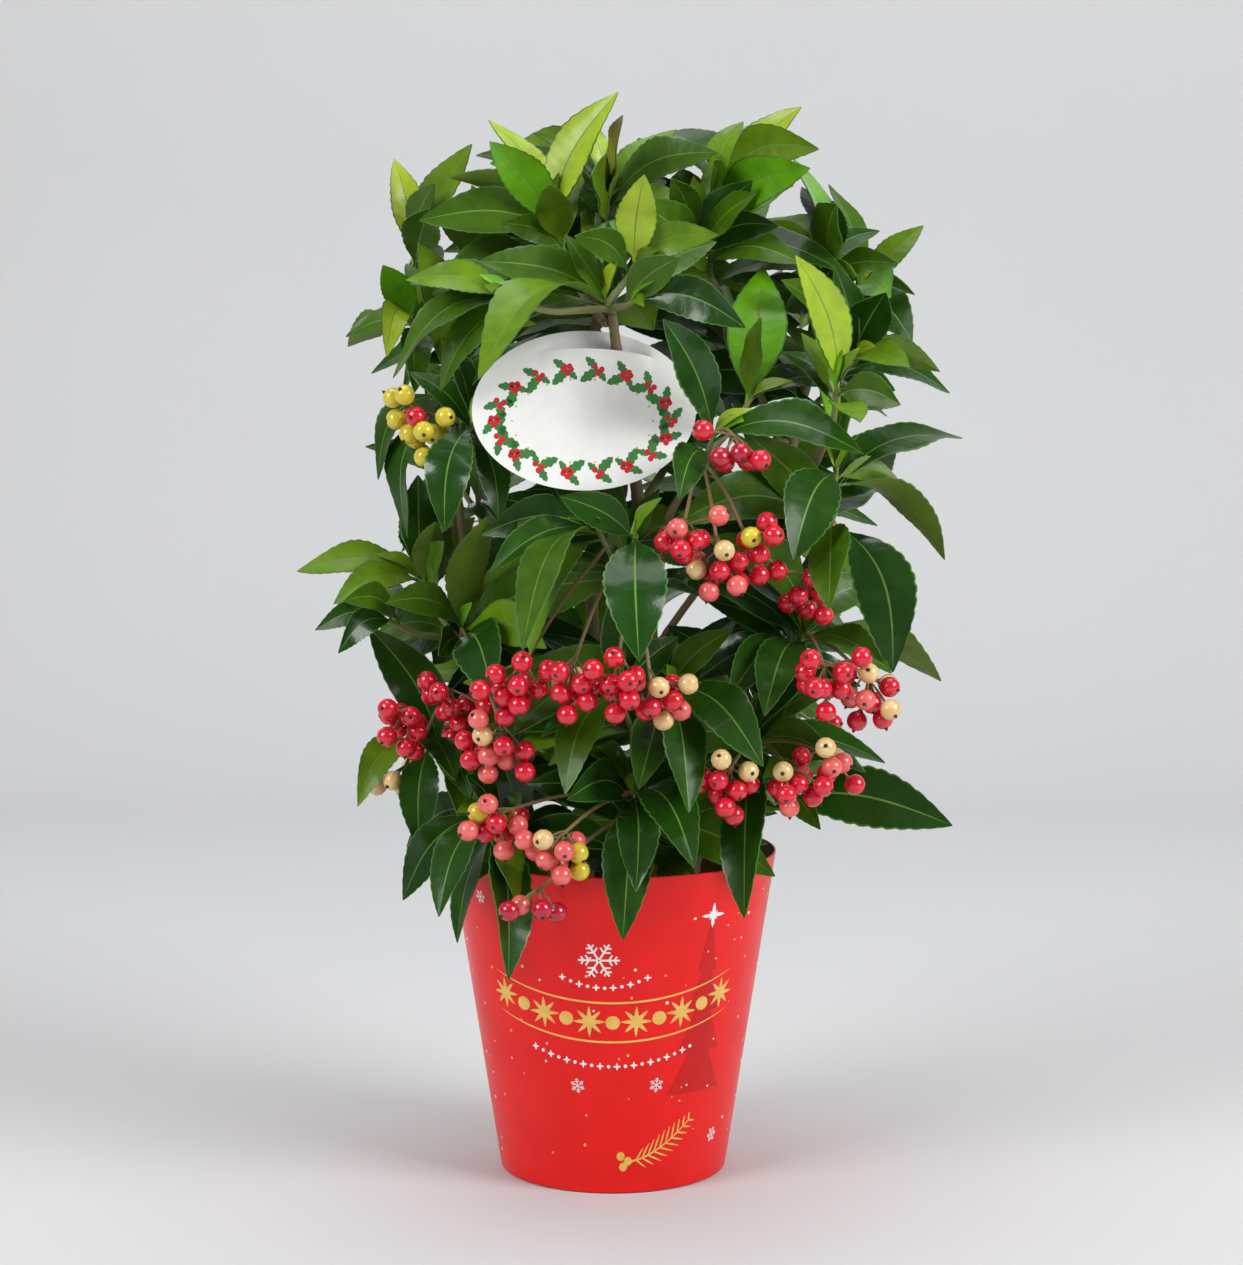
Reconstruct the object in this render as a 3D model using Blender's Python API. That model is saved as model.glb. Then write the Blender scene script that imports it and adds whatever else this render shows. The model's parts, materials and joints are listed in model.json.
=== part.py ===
"""Potted coralberry: a clump of four woody stems in a tapered card pot cover.

Every size below is in millimetres. X runs to the right, Y to the back and Z up,
with the origin at the middle of the pot's flat underside.

A stem stands on the soil, boughs leave the stems, and each mass of foliage is one
solid that starts at the tip of its bough or beside its stem. A mass is a main twig
with side shoots. Leaves and fruit stalks grow from the shoots and are fused to them.
"""
import math
import random
from collections import namedtuple

import bmesh
import bpy
import numpy as np
from mathutils import Vector
from mathutils.bvhtree import BVHTree

MM = 0.001

# Pot cover and soil
RIM_RADIUS = 67.5
BASE_RADIUS = 46.8
COVER_HEIGHT = 133.0
CARD_WALL = 0.9
ROUND_SIDES = 48
SOIL_TOP = 106.0
SEAT_GAP = 0.3

# Oval picture tag, hung on the middle stem by its slit
TAG_CENTRE = (-11.0, 315.5)
TAG_HALF = (43.1, 30.5)
TAG_THICKNESS = 0.6
TAG_GRID = (16, 9)
TAG_SLIT_ROW = 8
TAG_SLIT_COLUMNS = (4, 14)
TAG_PLANE_Y = -61.5
TAG_STEM_X = 1.5
TAG_LEAN = 0.25
TAG_LIP = 2.9
TAG_LIP_FADE = 12.0

# Root flare of a stem: how much wider its foot is, how fast that fades with height, and
# the heights of the rings that shape it. The stem starts to lean at the last of them.
FLARE = 0.6
FLARE_FADE = 6.0
FLARE_HEIGHTS = (0.0, 4.0, 12.0)
FLARE_LEAN = 0.15

# A bough's foot: it leaves its stem squarely, then turns up
BOUGH_FOOT = 2.5
BOUGH_TURN = 4.0
BOUGH_RISE = 1.0

# Twigs, leaves and fruit
TWIG_FOOT = 1.9
TWIG_TIP = 1.2
TWIG_START = 5.0
TWIG_SAG = 0.06
STALK_RADII = (1.0, 1.1, 1.15)
STALK_RISE = 3.0
RAY_RADIUS = 0.55
RAY_FIRST = 0.6
RAY_STEP = 1.3
BERRY_RADIUS = 4.1
BERRY_SPACING = 8.8
UMBEL_LEAN = 0.45
UMBEL_LEAST = 7.5
UMBEL_ROUNDS = 80
LEAF_SLENDERNESS = 0.34
LEAF_THICKNESS = 1 / 60
LEAF_THINNEST = 0.9
LEAF_STATIONS = ((0.30, 0.96), (0.66, 0.84))
LEAF_FOLD = 0.16
LEAF_STEP = 3.2
LEAF_SHIFTS = (0, -7, 7, -13, 13, -20, 20, -27)
CLEARANCE = 0.45
OWN_TWIG_SHARE = 0.25

# Filling leaves: length at the shoot's tip and how much longer they are at its foot, lean
# from the shoot in degrees, droop and arch as shares of the length, and tries for each
FILL_LENGTH = (46.0, 26.0)
FILL_LEAN = (28.0, 62.0)
FILL_DROOP = (0.10, 0.22)
FILL_ARCH = (0.10, 0.08)
FILL_TRIES = 7
SEED = 20
GOLDEN_ANGLE = math.radians(137.508)

# The room that filling leaves keep to: crown radius against height, about its axis
CROWN_AXIS = (8.0, -2.0)
CROWN_HEIGHTS = (90, 140, 200, 260, 330, 390, 415, 440)
CROWN_RADII = (78, 100, 112, 122, 126, 112, 88, 40)

Limb = namedtuple("Limb", "name parent start route foot tip sides")
Shoot = namedtuple("Shoot", "name origin hub fill leaves")
Mass = namedtuple("Mass", "name limb start shoots")
Cluster = namedtuple("Cluster", "shoot middle spread count")

# A stem's start is where it leaves the soil.
STEMS = (
    Limb("stem_left", None, (-22, -6), ((-44, -9, 178), (-58, -12, 236), (-66, -10, 296)), 3.4, 2.0, 7),
    Limb("stem_middle", None, (8, -22), ((15, -38, 218), (10, -50, 280), (2, -61, 336), (0, -63, 352)),
         3.3, 1.7, 7),
    Limb("stem_right", None, (30, 4), ((43, 1, 176), (59, 0, 223), (66, 1, 247), (73, 4, 298), (80, 4, 330)),
         3.8, 2.1, 7),
    Limb("stem_back", None, (-4, 26), ((-8, 34, 200), (-10, 28, 300), (-5, 8, 372)), 3.5, 1.8, 7),
)

# A bough's start is the height at which it leaves its stem, or None to follow on from the tip.
BOUGHS = (
    Limb("bough_crown_left", "stem_left", None, ((-73, -10, 320), (-77, -9, 338)), 2.0, 1.6, 5),
    Limb("bough_crown_inner", "stem_middle", 349, ((-11, -53, 359), (-18, -46, 374)), 1.5, 1.4, 5),
    Limb("bough_crown_right", "stem_right", 300, ((56, -8, 330), (42, -16, 362)), 1.8, 1.5, 5),
    Limb("bough_crown_outer", "stem_right", None, ((82, 3, 342), (85, 1, 356)), 2.0, 1.6, 5),
    Limb("bough_right_front", "stem_right", 256, ((76, -28, 282), (84, -58, 306)), 1.9, 1.5, 5),
    Limb("bough_front_right", "stem_middle", 256, ((22, -58, 274), (31, -65, 290)), 1.8, 1.5, 5),
    Limb("bough_left_upper", "stem_left", 258, ((-62, -24, 280), (-62, -36, 300)), 1.8, 1.5, 5),
    Limb("bough_left_side", "stem_left", 192, ((-54, -20, 206), (-60, -24, 218)), 1.8, 1.5, 5),
    Limb("bough_right_mid", "stem_right", 226, ((74, -22, 246), (83, -38, 264)), 1.9, 1.5, 5),
    Limb("bough_right_low", "stem_right", 182, ((60, -22, 200), (70, -36, 216)), 1.9, 1.5, 5),
    Limb("bough_right_base", "stem_right", 136, ((46, -14, 150), (52, -26, 166)), 1.9, 1.5, 5),
    Limb("bough_back_left", "stem_back", 268, ((-34, 46, 306), (-44, 54, 334)), 1.9, 1.5, 5),
    Limb("bough_back_right", "stem_back", 250, ((30, 50, 300), (50, 58, 328)), 1.9, 1.5, 5),
    Limb("bough_back_mid_left", "stem_back", 200, ((-38, 46, 240), (-54, 50, 264)), 1.9, 1.5, 5),
    Limb("bough_back_mid_right", "stem_back", 184, ((30, 48, 228), (54, 54, 258)), 1.9, 1.5, 5),
)

# A shoot's hub is the place that its leaves gather at. Its origin is how far along the mass's
# main twig it leaves. Each leaf row is its reach from the hub to the right, back and up, the
# width that it shows from the front and its arch. A negative width shows the leaf's underside.
MASSES = (
    Mass("crown_left", "bough_crown_left", None, (
        Shoot("crown_left", 0.0, (-81, 0, 377), 3, (
            (-8, 6, 39, 13, .05), (25, -8, 43, 14, .08), (9, -34, 17, 16, .12), (10, 22, 4, 12, .10))),
        Shoot("crown_left_low", 0.3, (-82, -14, 350), 2, (
            (-9, -16, 22, 13, .10), (-7, -26, -14, 12, .36), (-27, 16, -6, 9, .15),
            (-29, 32, -10, -9, .12), (8, 4, 17, -6, .12), (4, -28, -28, 11, .12))),
    )),
    Mass("crown_inner", "bough_crown_inner", None, (
        Shoot("crown_inner", 0.0, (-23, -42, 390), 1, (
            (-26, 16, 39, 10, .10), (-24, -20, 28, 17, .06), (25, 14, 48, 16, .14), (-41, 6, 16, -9, .16),
            (-41, 34, 20, 12, .14), (-1, -36, 11, 14, .10), (-20, -34, -3, 11, .14), (10, 22, 19, 9, .12))),
        Shoot("crown_inner_back", 0.3, (-41, 4, 374), 2, (
            (-33, 0, 17, 12, .16), (-27, -32, 14, -17, .06), (-29, 8, 5, 11, .16), (3, 14, 26, 14, .10),
            (-22, 26, 4, 10, .16))),
    )),
    Mass("fork", "stem_middle", None, (
        Shoot("fork", 0.0, (-3, -66, 358), 0, (
            (-48, -12, 14, 16, .12), (-15, -10, 24, 9, .05), (-46, -38, -30, 11, .26), (-51, -18, -33, 9, .24),
            (1, 8, 30, 8, .05), (-8, 18, 28, 14, .08))),
        Shoot("fork_left", 0.35, (-40, -86, 357), 0, (
            (-38, 6, 8, 12, .16), (6, -14, 9, 8, .08), (-38, 26, 7, 11, .14), (-44, 14, -29, 11, .22),
            (-26, 12, -34, 13, .18))),
        Shoot("fork_right", 0.35, (8, -76, 357), 0, (
            (42, -16, -10, 16, .16), (32, 16, 23, 14, .12), (17, -20, 16, 14, .10))),
        Shoot("crown_front", 0.7, (9, -73, 372), 0, (
            (3, -14, 32, 16, .04), (31, -8, 10, 13, .14), (-23, -20, 9, 12, .14))),
    )),
    Mass("crown_top", "stem_back", None, (
        Shoot("crown_top", 0.0, (-2, -8, 401), 3, (
            (-8, 4, 30, 10, .08), (6, -10, 29, 5, .04), (28, 18, 27, 11, .12), (15, 36, 24, 9, .12),
            (43, -18, 15, 16, .16), (-18, 32, 13, 12, .12), (-6, -34, 4, 9, .10))),
    )),
    Mass("crown_right", "bough_crown_right", None, (
        Shoot("crown_right", 0.0, (32, -22, 385), 1, (
            (-9, -22, 20, 12, .10), (0, -4, 22, 9, .06), (10, 8, 34, 6, .05), (23, -4, 20, 16, .10),
            (33, -14, 2, 14, .14), (62, -4, -17, 12, .18), (42, -30, -13, 12, .18))),
        Shoot("crown_right_tip", 0.35, (44, 2, 407), 2, (
            (32, -6, 29, 12, .04), (9, 18, 24, 12, .22), (33, 10, 13, 9, .12), (21, -26, -6, -14, .16),
            (6, 32, 18, 12, .12))),
    )),
    Mass("crown_outer", "bough_crown_outer", None, (
        Shoot("crown_outer", 0.0, (87, -4, 375), 2, (
            (1, -12, 23, 15, .10), (22, 12, 12, 9, .14), (9, 18, 10, 11, .12), (10, -22, -7, 10, .10))),
        Shoot("crown_outer_low", 0.1, (104, 24, 363), 2, (
            (25, 4, 27, 11, .06), (13, -6, 11, 6, .10), (19, -22, -2, -8, .22), (-28, -24, -16, -12, .20))),
    )),
    Mass("right_front", "bough_right_front", None, (
        Shoot("right_front", 0.0, (86, -72, 324), 0, (
            (-17, -12, 50, 16, .09), (23, -14, -6, 14, .14), (-13, 12, 21, 9, .10), (6, -36, -12, 8, .08),
            (-20, 24, 14, 10, .20))),
    )),
    Mass("right_upper", "stem_right", 316, (
        Shoot("right_upper", 0.0, (97, -20, 336), 2, (
            (10, -24, 25, 18, .10), (35, 8, -6, -11, .18), (18, -26, -4, 8, .14), (41, 12, -15, 11, .14),
            (41, 34, -8, 10, .14))),
    )),
    Mass("front_right", "bough_front_right", None, (
        Shoot("front_right", 0.0, (39, -72, 306), 0, (
            (-20, -28, 44, 16, .08), (55, -26, -6, 14, .16), (-26, 6, -9, 12, .14), (-14, -30, -23, 14, .18))),
        Shoot("front_right_bud", 0.4, (54, -54, 320), 1, (
            (3, -12, 31, 7, .04), (-8, 0, 43, 7, .06))),
    )),
    Mass("left_upper", "bough_left_upper", None, (
        Shoot("left_upper", 0.0, (-66, -28, 322), 2, (
            (-28, 2, -35, 10, .24), (-16, -16, -58, 10, .20), (-9, -32, -36, 8, .16), (-18, 38, 8, 11, .16))),
        Shoot("left_upper_front", 0.1, (-54, -58, 310), 0, (
            (-10, -24, -40, 18, .18), (-27, 40, -20, 12, .20), (10, -8, -37, 12, .16))),
    )),
    Mass("left_side", "bough_left_side", None, (
        Shoot("left_side", 0.0, (-79, -20, 248), 2, (
            (-48, -4, 2, 12, .14), (-31, -28, -9, 11, .16), (9, -22, 23, -11, .08), (22, 18, 22, -11, .08),
            (13, -10, 16, 7, .06), (-7, 26, 20, 11, .10))),
        Shoot("left_side_low", 0.2, (-89, -46, 232), 0, (
            (-29, 4, -4, 10, .20), (-18, -16, -11, 11, .24), (-15, -24, 10, 9, .18))),
        Shoot("left_centre", 0.1, (-60, -36, 228), 0, (
            (-28, -30, 13, 11, .16), (11, -22, 46, -15, .08), (34, -50, 32, 18, .14), (14, -44, -22, 22, .18),
            (-9, -28, -10, 12, .20))),
    )),
    Mass("centre", "stem_middle", 248, (
        Shoot("centre", 0.0, (-6, -70, 270), 0, (
            (-40, -22, -15, 10, .14), (-27, -42, -42, 11, .26), (-25, -24, -46, 13, .20), (-18, -30, -25, 16, .14),
            (-10, -20, 13, 10, .10))),
        Shoot("centre_front", 0.4, (9, -82, 268), 0, (
            (1, -36, -44, 24, .16), (-29, 10, 15, 14, .12), (21, 24, -13, 14, .16))),
    )),
    Mass("low_centre", "stem_middle", 186, (
        Shoot("low_centre", 0.0, (2, -62, 206), 0, (
            (-40, -32, -13, 11, .18), (-20, -30, -36, 15, .20), (24, 14, 20, 14, .10))),
        Shoot("low_centre_right", 0.3, (24, -58, 206), 1, (
            (33, -42, -24, 18, .18), (5, -40, -42, 16, .16), (-14, -34, -34, 16, .12))),
    )),
    Mass("low_front", "stem_middle", 142, (
        Shoot("low_front", 0.0, (8, -54, 165), 2, (
            (23, -50, -21, 16, .20), (1, -36, -33, 17, .20), (-4, -38, -53, 20, .22), (-25, -38, 3, 14, .18))),
    )),
    Mass("right_mid", "bough_right_mid", None, (
        Shoot("right_mid", 0.0, (88, -46, 291), 1, (
            (-19, -38, -32, 23, .18), (27, 10, -6, -10, .20), (45, 18, -36, -10, .18), (54, 32, 12, 12, .16),
            (-24, 46, 11, 12, .12))),
        Shoot("right_mid_low", 0.2, (87, -51, 271), 0, (
            (22, -16, -57, 24, .20), (-5, -30, -30, 14, .14))),
    )),
    Mass("right_low", "bough_right_low", None, (
        Shoot("right_low", 0.0, (76, -46, 227), 2, (
            (57, 26, -22, -12, .14), (32, -18, -13, 10, .16), (-18, -44, -27, 16, .18), (-31, -32, -22, 14, .16),
            (-40, -4, 14, 12, .10))),
    )),
    Mass("right_base", "bough_right_base", None, (
        Shoot("right_base", 0.0, (57, -42, 183), 1, (
            (29, -32, -3, 17, .14), (45, 12, -14, 11, .14), (52, 32, -9, 9, .16), (-6, -40, -63, 16, .18))),
        Shoot("right_base_low", 0.45, (66, -22, 155), 1, (
            (70, -30, -6, 23, .10), (-19, -22, -12, 9, .16))),
    )),
    Mass("low_left", "stem_left", 126, (
        Shoot("low_left", 0.0, (-51, -50, 156), 1, (
            (-32, -6, -34, 16, .16), (-33, 30, -19, 15, .16), (-16, -34, -35, 13, .18), (11, -42, -58, 14, .20),
            (14, -46, -28, 7, .14), (-10, -16, -49, 8, .16))),
    )),
    Mass("low_left_side", "stem_left", 156, (
        Shoot("low_left_side", 0.0, (-77, -20, 180), 2, (
            (-25, -20, -23, 13, .26), (0, -26, -40, 16, .20), (21, -38, -17, 14, .20))),
    )),
    Mass("back_top", "stem_back", 348, (Shoot("back_top", 0.0, (8, 46, 388), 9, ()),)),
    Mass("back_upper_left", "bough_back_left", None, (Shoot("back_upper_left", 0.0, (-50, 60, 358), 9, ()),)),
    Mass("back_upper_right", "bough_back_right", None, (Shoot("back_upper_right", 0.0, (60, 64, 350), 9, ()),)),
    Mass("back_mid_left", "bough_back_mid_left", None, (Shoot("back_mid_left", 0.0, (-68, 52, 286), 9, ()),)),
    Mass("back_mid_centre", "stem_back", 258, (Shoot("back_mid_centre", 0.0, (0, 84, 296), 9, ()),)),
    Mass("back_mid_right", "bough_back_mid_right", None, (Shoot("back_mid_right", 0.0, (68, 58, 280), 9, ()),)),
    Mass("back_low_left", "stem_back", 158, (Shoot("back_low_left", 0.0, (-52, 44, 206), 9, ()),)),
    Mass("back_low_centre", "stem_back", 172, (Shoot("back_low_centre", 0.0, (6, 76, 214), 9, ()),)),
    Mass("back_low_right", "stem_right", 162, (Shoot("back_low_right", 0.0, (66, 42, 204), 9, ()),)),
    Mass("back_foot_left", "stem_back", 124, (Shoot("back_foot_left", 0.0, (-26, 50, 156), 8, ()),)),
    Mass("back_foot_right", "stem_right", 122, (Shoot("back_foot_right", 0.0, (42, 46, 152), 8, ()),)),
)

# Berries hang in loose round clusters: the shoot that bears them, the cluster's middle,
# how wide it spreads in degrees, and how many it holds.
CLUSTERS = (
    Cluster("centre", (-37, -98, 211), 75, 6),
    Cluster("centre", (-16, -104, 213), 75, 7),
    Cluster("centre_front", (2, -106, 214), 75, 6),
    Cluster("centre_front", (15, -102, 207), 75, 7),
    Cluster("front_right", (27, -92, 266), 75, 5),
    Cluster("front_right", (41, -90, 257), 75, 6),
    Cluster("front_right", (52, -86, 263), 75, 5),
    Cluster("front_right", (48, -86, 300), 50, 3),
    Cluster("right_mid_low", (77, -68, 246), 75, 4),
    Cluster("right_low", (83, -86, 212), 75, 6),
    Cluster("right_low", (101, -76, 206), 75, 5),
    Cluster("right_base", (46, -84, 172), 75, 6),
    Cluster("right_base", (69, -80, 173), 75, 4),
    Cluster("right_base", (84, -74, 178), 75, 4),
    Cluster("low_left_side", (-82, -52, 192), 75, 5),
    Cluster("low_left_side", (-66, -50, 199), 75, 4),
    Cluster("low_left_side", (-86, -30, 166), 50, 2),
    Cluster("left_centre", (-43, -90, 187), 75, 7),
    Cluster("low_front", (-45, -84, 156), 75, 6),
    Cluster("low_front", (-22, -92, 147), 75, 6),
    Cluster("low_front", (-29, -94, 128), 50, 2),
    Cluster("left_upper", (-76, -50, 308), 75, 7),
    Cluster("back_mid_left", (-60, 92, 258), 75, 4),
    Cluster("back_mid_right", (52, 94, 252), 75, 4),
    Cluster("back_low_centre", (-8, 104, 184), 75, 4),
    Cluster("back_low_right", (88, 34, 176), 75, 3),
    Cluster("back_low_left", (-72, 48, 176), 75, 3),
)

# Colour, roughness and metallic value of each material
FINISHES = {
    "card": ((0.72, 0.05, 0.06), 0.45, 0.0),
    "soil": ((0.06, 0.035, 0.02), 0.95, 0.0),
    "tag": ((0.92, 0.92, 0.90), 0.35, 0.0),
    "bark": ((0.19, 0.15, 0.07), 0.75, 0.0),
    "leaf": ((0.05, 0.20, 0.03), 0.35, 0.0),
}


def clear_scene():
    """Remove every object that the scene holds."""
    for thing in list(bpy.data.objects):
        bpy.data.objects.remove(thing, do_unlink=True)


def material(kind):
    """Return the shared material of one kind, made on first use."""
    if kind in bpy.data.materials:
        return bpy.data.materials[kind]
    colour, roughness, metallic = FINISHES[kind]
    made = bpy.data.materials.new(kind)
    made.use_nodes = True
    shader = made.node_tree.nodes["Principled BSDF"]
    shader.inputs["Base Color"].default_value = (*colour, 1.0)
    shader.inputs["Roughness"].default_value = roughness
    shader.inputs["Metallic"].default_value = metallic
    made.diffuse_color = (*colour, 1.0)
    return made


def add_object(name, points, faces, kind, smooth_angle=None):
    """Make an object from points in millimetres and faces, with its material."""
    mesh = bpy.data.meshes.new(name)
    mesh.from_pydata((np.asarray(points, float) * MM).tolist(), [], [list(face) for face in faces])
    mesh.materials.append(material(kind))
    if smooth_angle is not None:
        mesh.shade_smooth()
        mesh.set_sharp_from_angle(angle=math.radians(smooth_angle))
    made = bpy.data.objects.new(name, mesh)
    bpy.context.scene.collection.objects.link(made)
    return made


def unit(vector):
    """Return the vector at length one."""
    vector = np.asarray(vector, float)
    return vector / np.linalg.norm(vector)


def smooth_path(points, steps):
    """Return a curve through the points, with the given steps in each span (Catmull-Rom)."""
    points = np.asarray(points, float)
    padded = np.vstack([2 * points[0] - points[1], points, 2 * points[-1] - points[-2]])
    curve = []
    for index in range(len(points) - 1):
        before, first, second, after = padded[index:index + 4]
        for step in range(steps):
            t = step / steps
            curve.append(0.5 * (2 * first + (second - before) * t
                                + (2 * before - 5 * first + 4 * second - after) * t ** 2
                                + (3 * first - before - 3 * second + after) * t ** 3))
    curve.append(points[-1])
    return np.array(curve)


def tube(path, radii, sides):
    """Return the points and faces of a closed round tube along a path, with flat ends."""
    tangents = np.gradient(path, axis=0)
    tangents[0] = path[1] - path[0]
    tangents[-1] = path[-1] - path[-2]
    across = unit(np.cross(tangents[0], (0.31, 0.17, 0.93) if abs(unit(tangents[0])[2]) < 0.9 else (1, 0.2, 0)))
    turns = np.arange(sides) * 2 * math.pi / sides
    points = []
    for centre, tangent, radius in zip(path, tangents, radii):
        tangent = unit(tangent)
        across = unit(across - tangent * np.dot(across, tangent))
        beside = np.cross(tangent, across)
        points.extend(centre + radius * (across * math.cos(turn) + beside * math.sin(turn)) for turn in turns)
    faces = [tuple(reversed(range(sides)))]
    for ring in range(len(path) - 1):
        for side in range(sides):
            here = ring * sides + side
            after = ring * sides + (side + 1) % sides
            faces.append((here, after, after + sides, here + sides))
    last = (len(path) - 1) * sides
    faces.append(tuple(range(last, last + sides)))
    return np.array(points), faces


def revolve(profile, sides):
    """Return the points and faces of a closed solid turned about Z from an outline that
    starts and ends on the axis. The outline runs from the bottom, outside and up."""
    turns = np.arange(sides) * 2 * math.pi / sides
    rings = profile[1:-1]
    points = [(radius * math.cos(turn), radius * math.sin(turn), height)
              for radius, height in rings for turn in turns]
    bottom = len(points)
    points.append((0, 0, profile[0][1]))
    points.append((0, 0, profile[-1][1]))
    faces = []
    for side in range(sides):
        after = (side + 1) % sides
        faces.append((bottom, after, side))
        for ring in range(len(rings) - 1):
            low, high = ring * sides, (ring + 1) * sides
            faces.append((low + side, low + after, high + after, high + side))
        top = (len(rings) - 1) * sides
        faces.append((bottom + 1, top + side, top + after))
    return np.array(points), faces


def cover_radius(height):
    """Return the pot cover's outer radius at a height."""
    return BASE_RADIUS + (RIM_RADIUS - BASE_RADIUS) * height / COVER_HEIGHT


def build_pot():
    """Make the card cover, a tapered tub with a floor, and the root ball inside it."""
    cover = ((0, 0), (BASE_RADIUS, 0), (RIM_RADIUS, COVER_HEIGHT), (RIM_RADIUS - CARD_WALL, COVER_HEIGHT),
             (cover_radius(CARD_WALL) - CARD_WALL, CARD_WALL), (0, CARD_WALL))
    add_object("pot_cover", *revolve(cover, ROUND_SIDES), "card", 40)
    low = CARD_WALL + SEAT_GAP
    inset = CARD_WALL + SEAT_GAP
    soil = ((0, low), (cover_radius(low) - inset, low), (cover_radius(SOIL_TOP) - inset, SOIL_TOP), (0, SOIL_TOP))
    add_object("soil", *revolve(soil, ROUND_SIDES), "soil", 40)


def build_tag():
    """Make the oval card tag: a thin sheet with a slit, its lips parted round the stem."""
    columns, rows = TAG_GRID
    stem_x = TAG_STEM_X
    sheet = {}
    for row in range(rows + 1):
        for column in range(columns + 1):
            across = 2 * column / columns - 1
            rise = 2 * row / rows - 1
            x = TAG_CENTRE[0] + TAG_HALF[0] * across * math.sqrt(1 - rise ** 2 / 2)
            z = TAG_CENTRE[1] + TAG_HALF[1] * rise * math.sqrt(1 - across ** 2 / 2)
            sheet[column, row] = (x, z)
    slit_height = sheet[columns // 2, TAG_SLIT_ROW][1]
    slit_ends = [sheet[column, TAG_SLIT_ROW][0] for column in TAG_SLIT_COLUMNS]

    def depth(x, z, side):
        """Return how far back the card lies. Its lips bend apart near the stem."""
        plane = TAG_PLANE_Y + TAG_LEAN * (z - slit_height)
        reach = slit_ends[1] - stem_x if x > stem_x else stem_x - slit_ends[0]
        near = min(1.0, max(0.0, 1.35 * (1 - abs(x - stem_x) / reach)))
        fade = 1.0 if side > 0 else math.exp(-((slit_height - z) / TAG_LIP_FADE) ** 2)
        return plane + side * TAG_LIP * math.sin(near * math.pi / 2) ** 1.2 * fade

    points = []
    index = {}
    for face_side in (0, 1):
        shift = (face_side - 0.5) * TAG_THICKNESS
        for (column, row), (x, z) in sheet.items():
            inside_slit = row == TAG_SLIT_ROW and TAG_SLIT_COLUMNS[0] < column < TAG_SLIT_COLUMNS[1]
            if row == TAG_SLIT_ROW and not inside_slit:
                sides = (0,)
            elif inside_slit:
                sides = (-1, 1)
            else:
                sides = (1,) if row > TAG_SLIT_ROW else (-1,)
            for side in sides:
                index[face_side, column, row, side] = len(points)
                points.append((x, depth(x, z, side) + shift, z))

    def corner(face_side, column, row, side):
        """Return the point at one grid corner as seen from the sheet above or below the slit."""
        for choice in (side, 0, -side):
            if (face_side, column, row, choice) in index:
                return index[face_side, column, row, choice]
        raise KeyError((column, row))

    faces = []
    edges = {}
    for row in range(rows):
        side = 1 if row >= TAG_SLIT_ROW else -1
        for column in range(columns):
            square = ((column, row), (column + 1, row), (column + 1, row + 1), (column, row + 1))
            front = [corner(0, *place, side) for place in square]
            back = [corner(1, *place, side) for place in square]
            faces.append(front)
            faces.append(back[::-1])
            for first in range(4):
                second = (first + 1) % 4
                key = (front[first], front[second])
                if key[::-1] in edges:
                    del edges[key[::-1]]
                else:
                    edges[key] = (back[first], back[second])
    for (front_a, front_b), (back_a, back_b) in edges.items():
        faces.append((front_b, front_a, back_a, back_b))
    add_object("tag", points, faces, "tag", 40)


def limb_path(limb, start):
    """Return the smooth centre line and radii of a limb from its start point."""
    path = smooth_path([start] + [np.array(point, float) for point in limb.route], 2)
    share = np.linspace(0, 1, len(path))
    radii = limb.foot + (limb.tip - limb.foot) * share
    return path, radii


def point_at_height(path, radii, height):
    """Return the centre, tangent and radius where a rising path passes a height."""
    for index in range(len(path) - 1):
        if path[index][2] <= height <= path[index + 1][2]:
            share = (height - path[index][2]) / (path[index + 1][2] - path[index][2])
            centre = path[index] + share * (path[index + 1] - path[index])
            radius = radii[index] + share * (radii[index + 1] - radii[index])
            return centre, unit(path[index + 1] - path[index]), radius
    raise ValueError(f"no point at height {height}")


def side_start(path, radii, height, toward, radius):
    """Return the start and direction of a piece that leaves a limb's side, seated 0.3 mm clear."""
    centre, tangent, limb_radius = point_at_height(path, radii, height)
    outward = np.array(toward, float) - centre
    outward = unit(outward - tangent * np.dot(outward, tangent))
    return centre + outward * (limb_radius + SEAT_GAP), outward


def tip_start(path):
    """Return the start and direction of a piece that follows on from a limb's tip."""
    along = unit(path[-1] - path[-2])
    return path[-1] + along * SEAT_GAP, along


class Solids:
    """The solids made so far, kept so that new pieces can be tested against them."""

    def __init__(self):
        self.kept = []

    def add(self, owner, points, faces):
        """Keep one solid under its owner's name."""
        tree = BVHTree.FromPolygons(points.tolist(), [list(face) for face in faces])
        self.kept.append((owner, points.min(axis=0), points.max(axis=0), tree))

    def touches(self, points, faces, skip=()):
        """Tell whether a shape cuts any kept solid whose owner isn't skipped."""
        low, high = points.min(axis=0), points.max(axis=0)
        near = [tree for owner, least, most, tree in self.kept
                if owner not in skip and np.all(least <= high) and np.all(low <= most)]
        if not near:
            return False
        shape = BVHTree.FromPolygons(points.tolist(), [list(face) for face in faces])
        return any(shape.overlap(tree) for tree in near)


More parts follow.
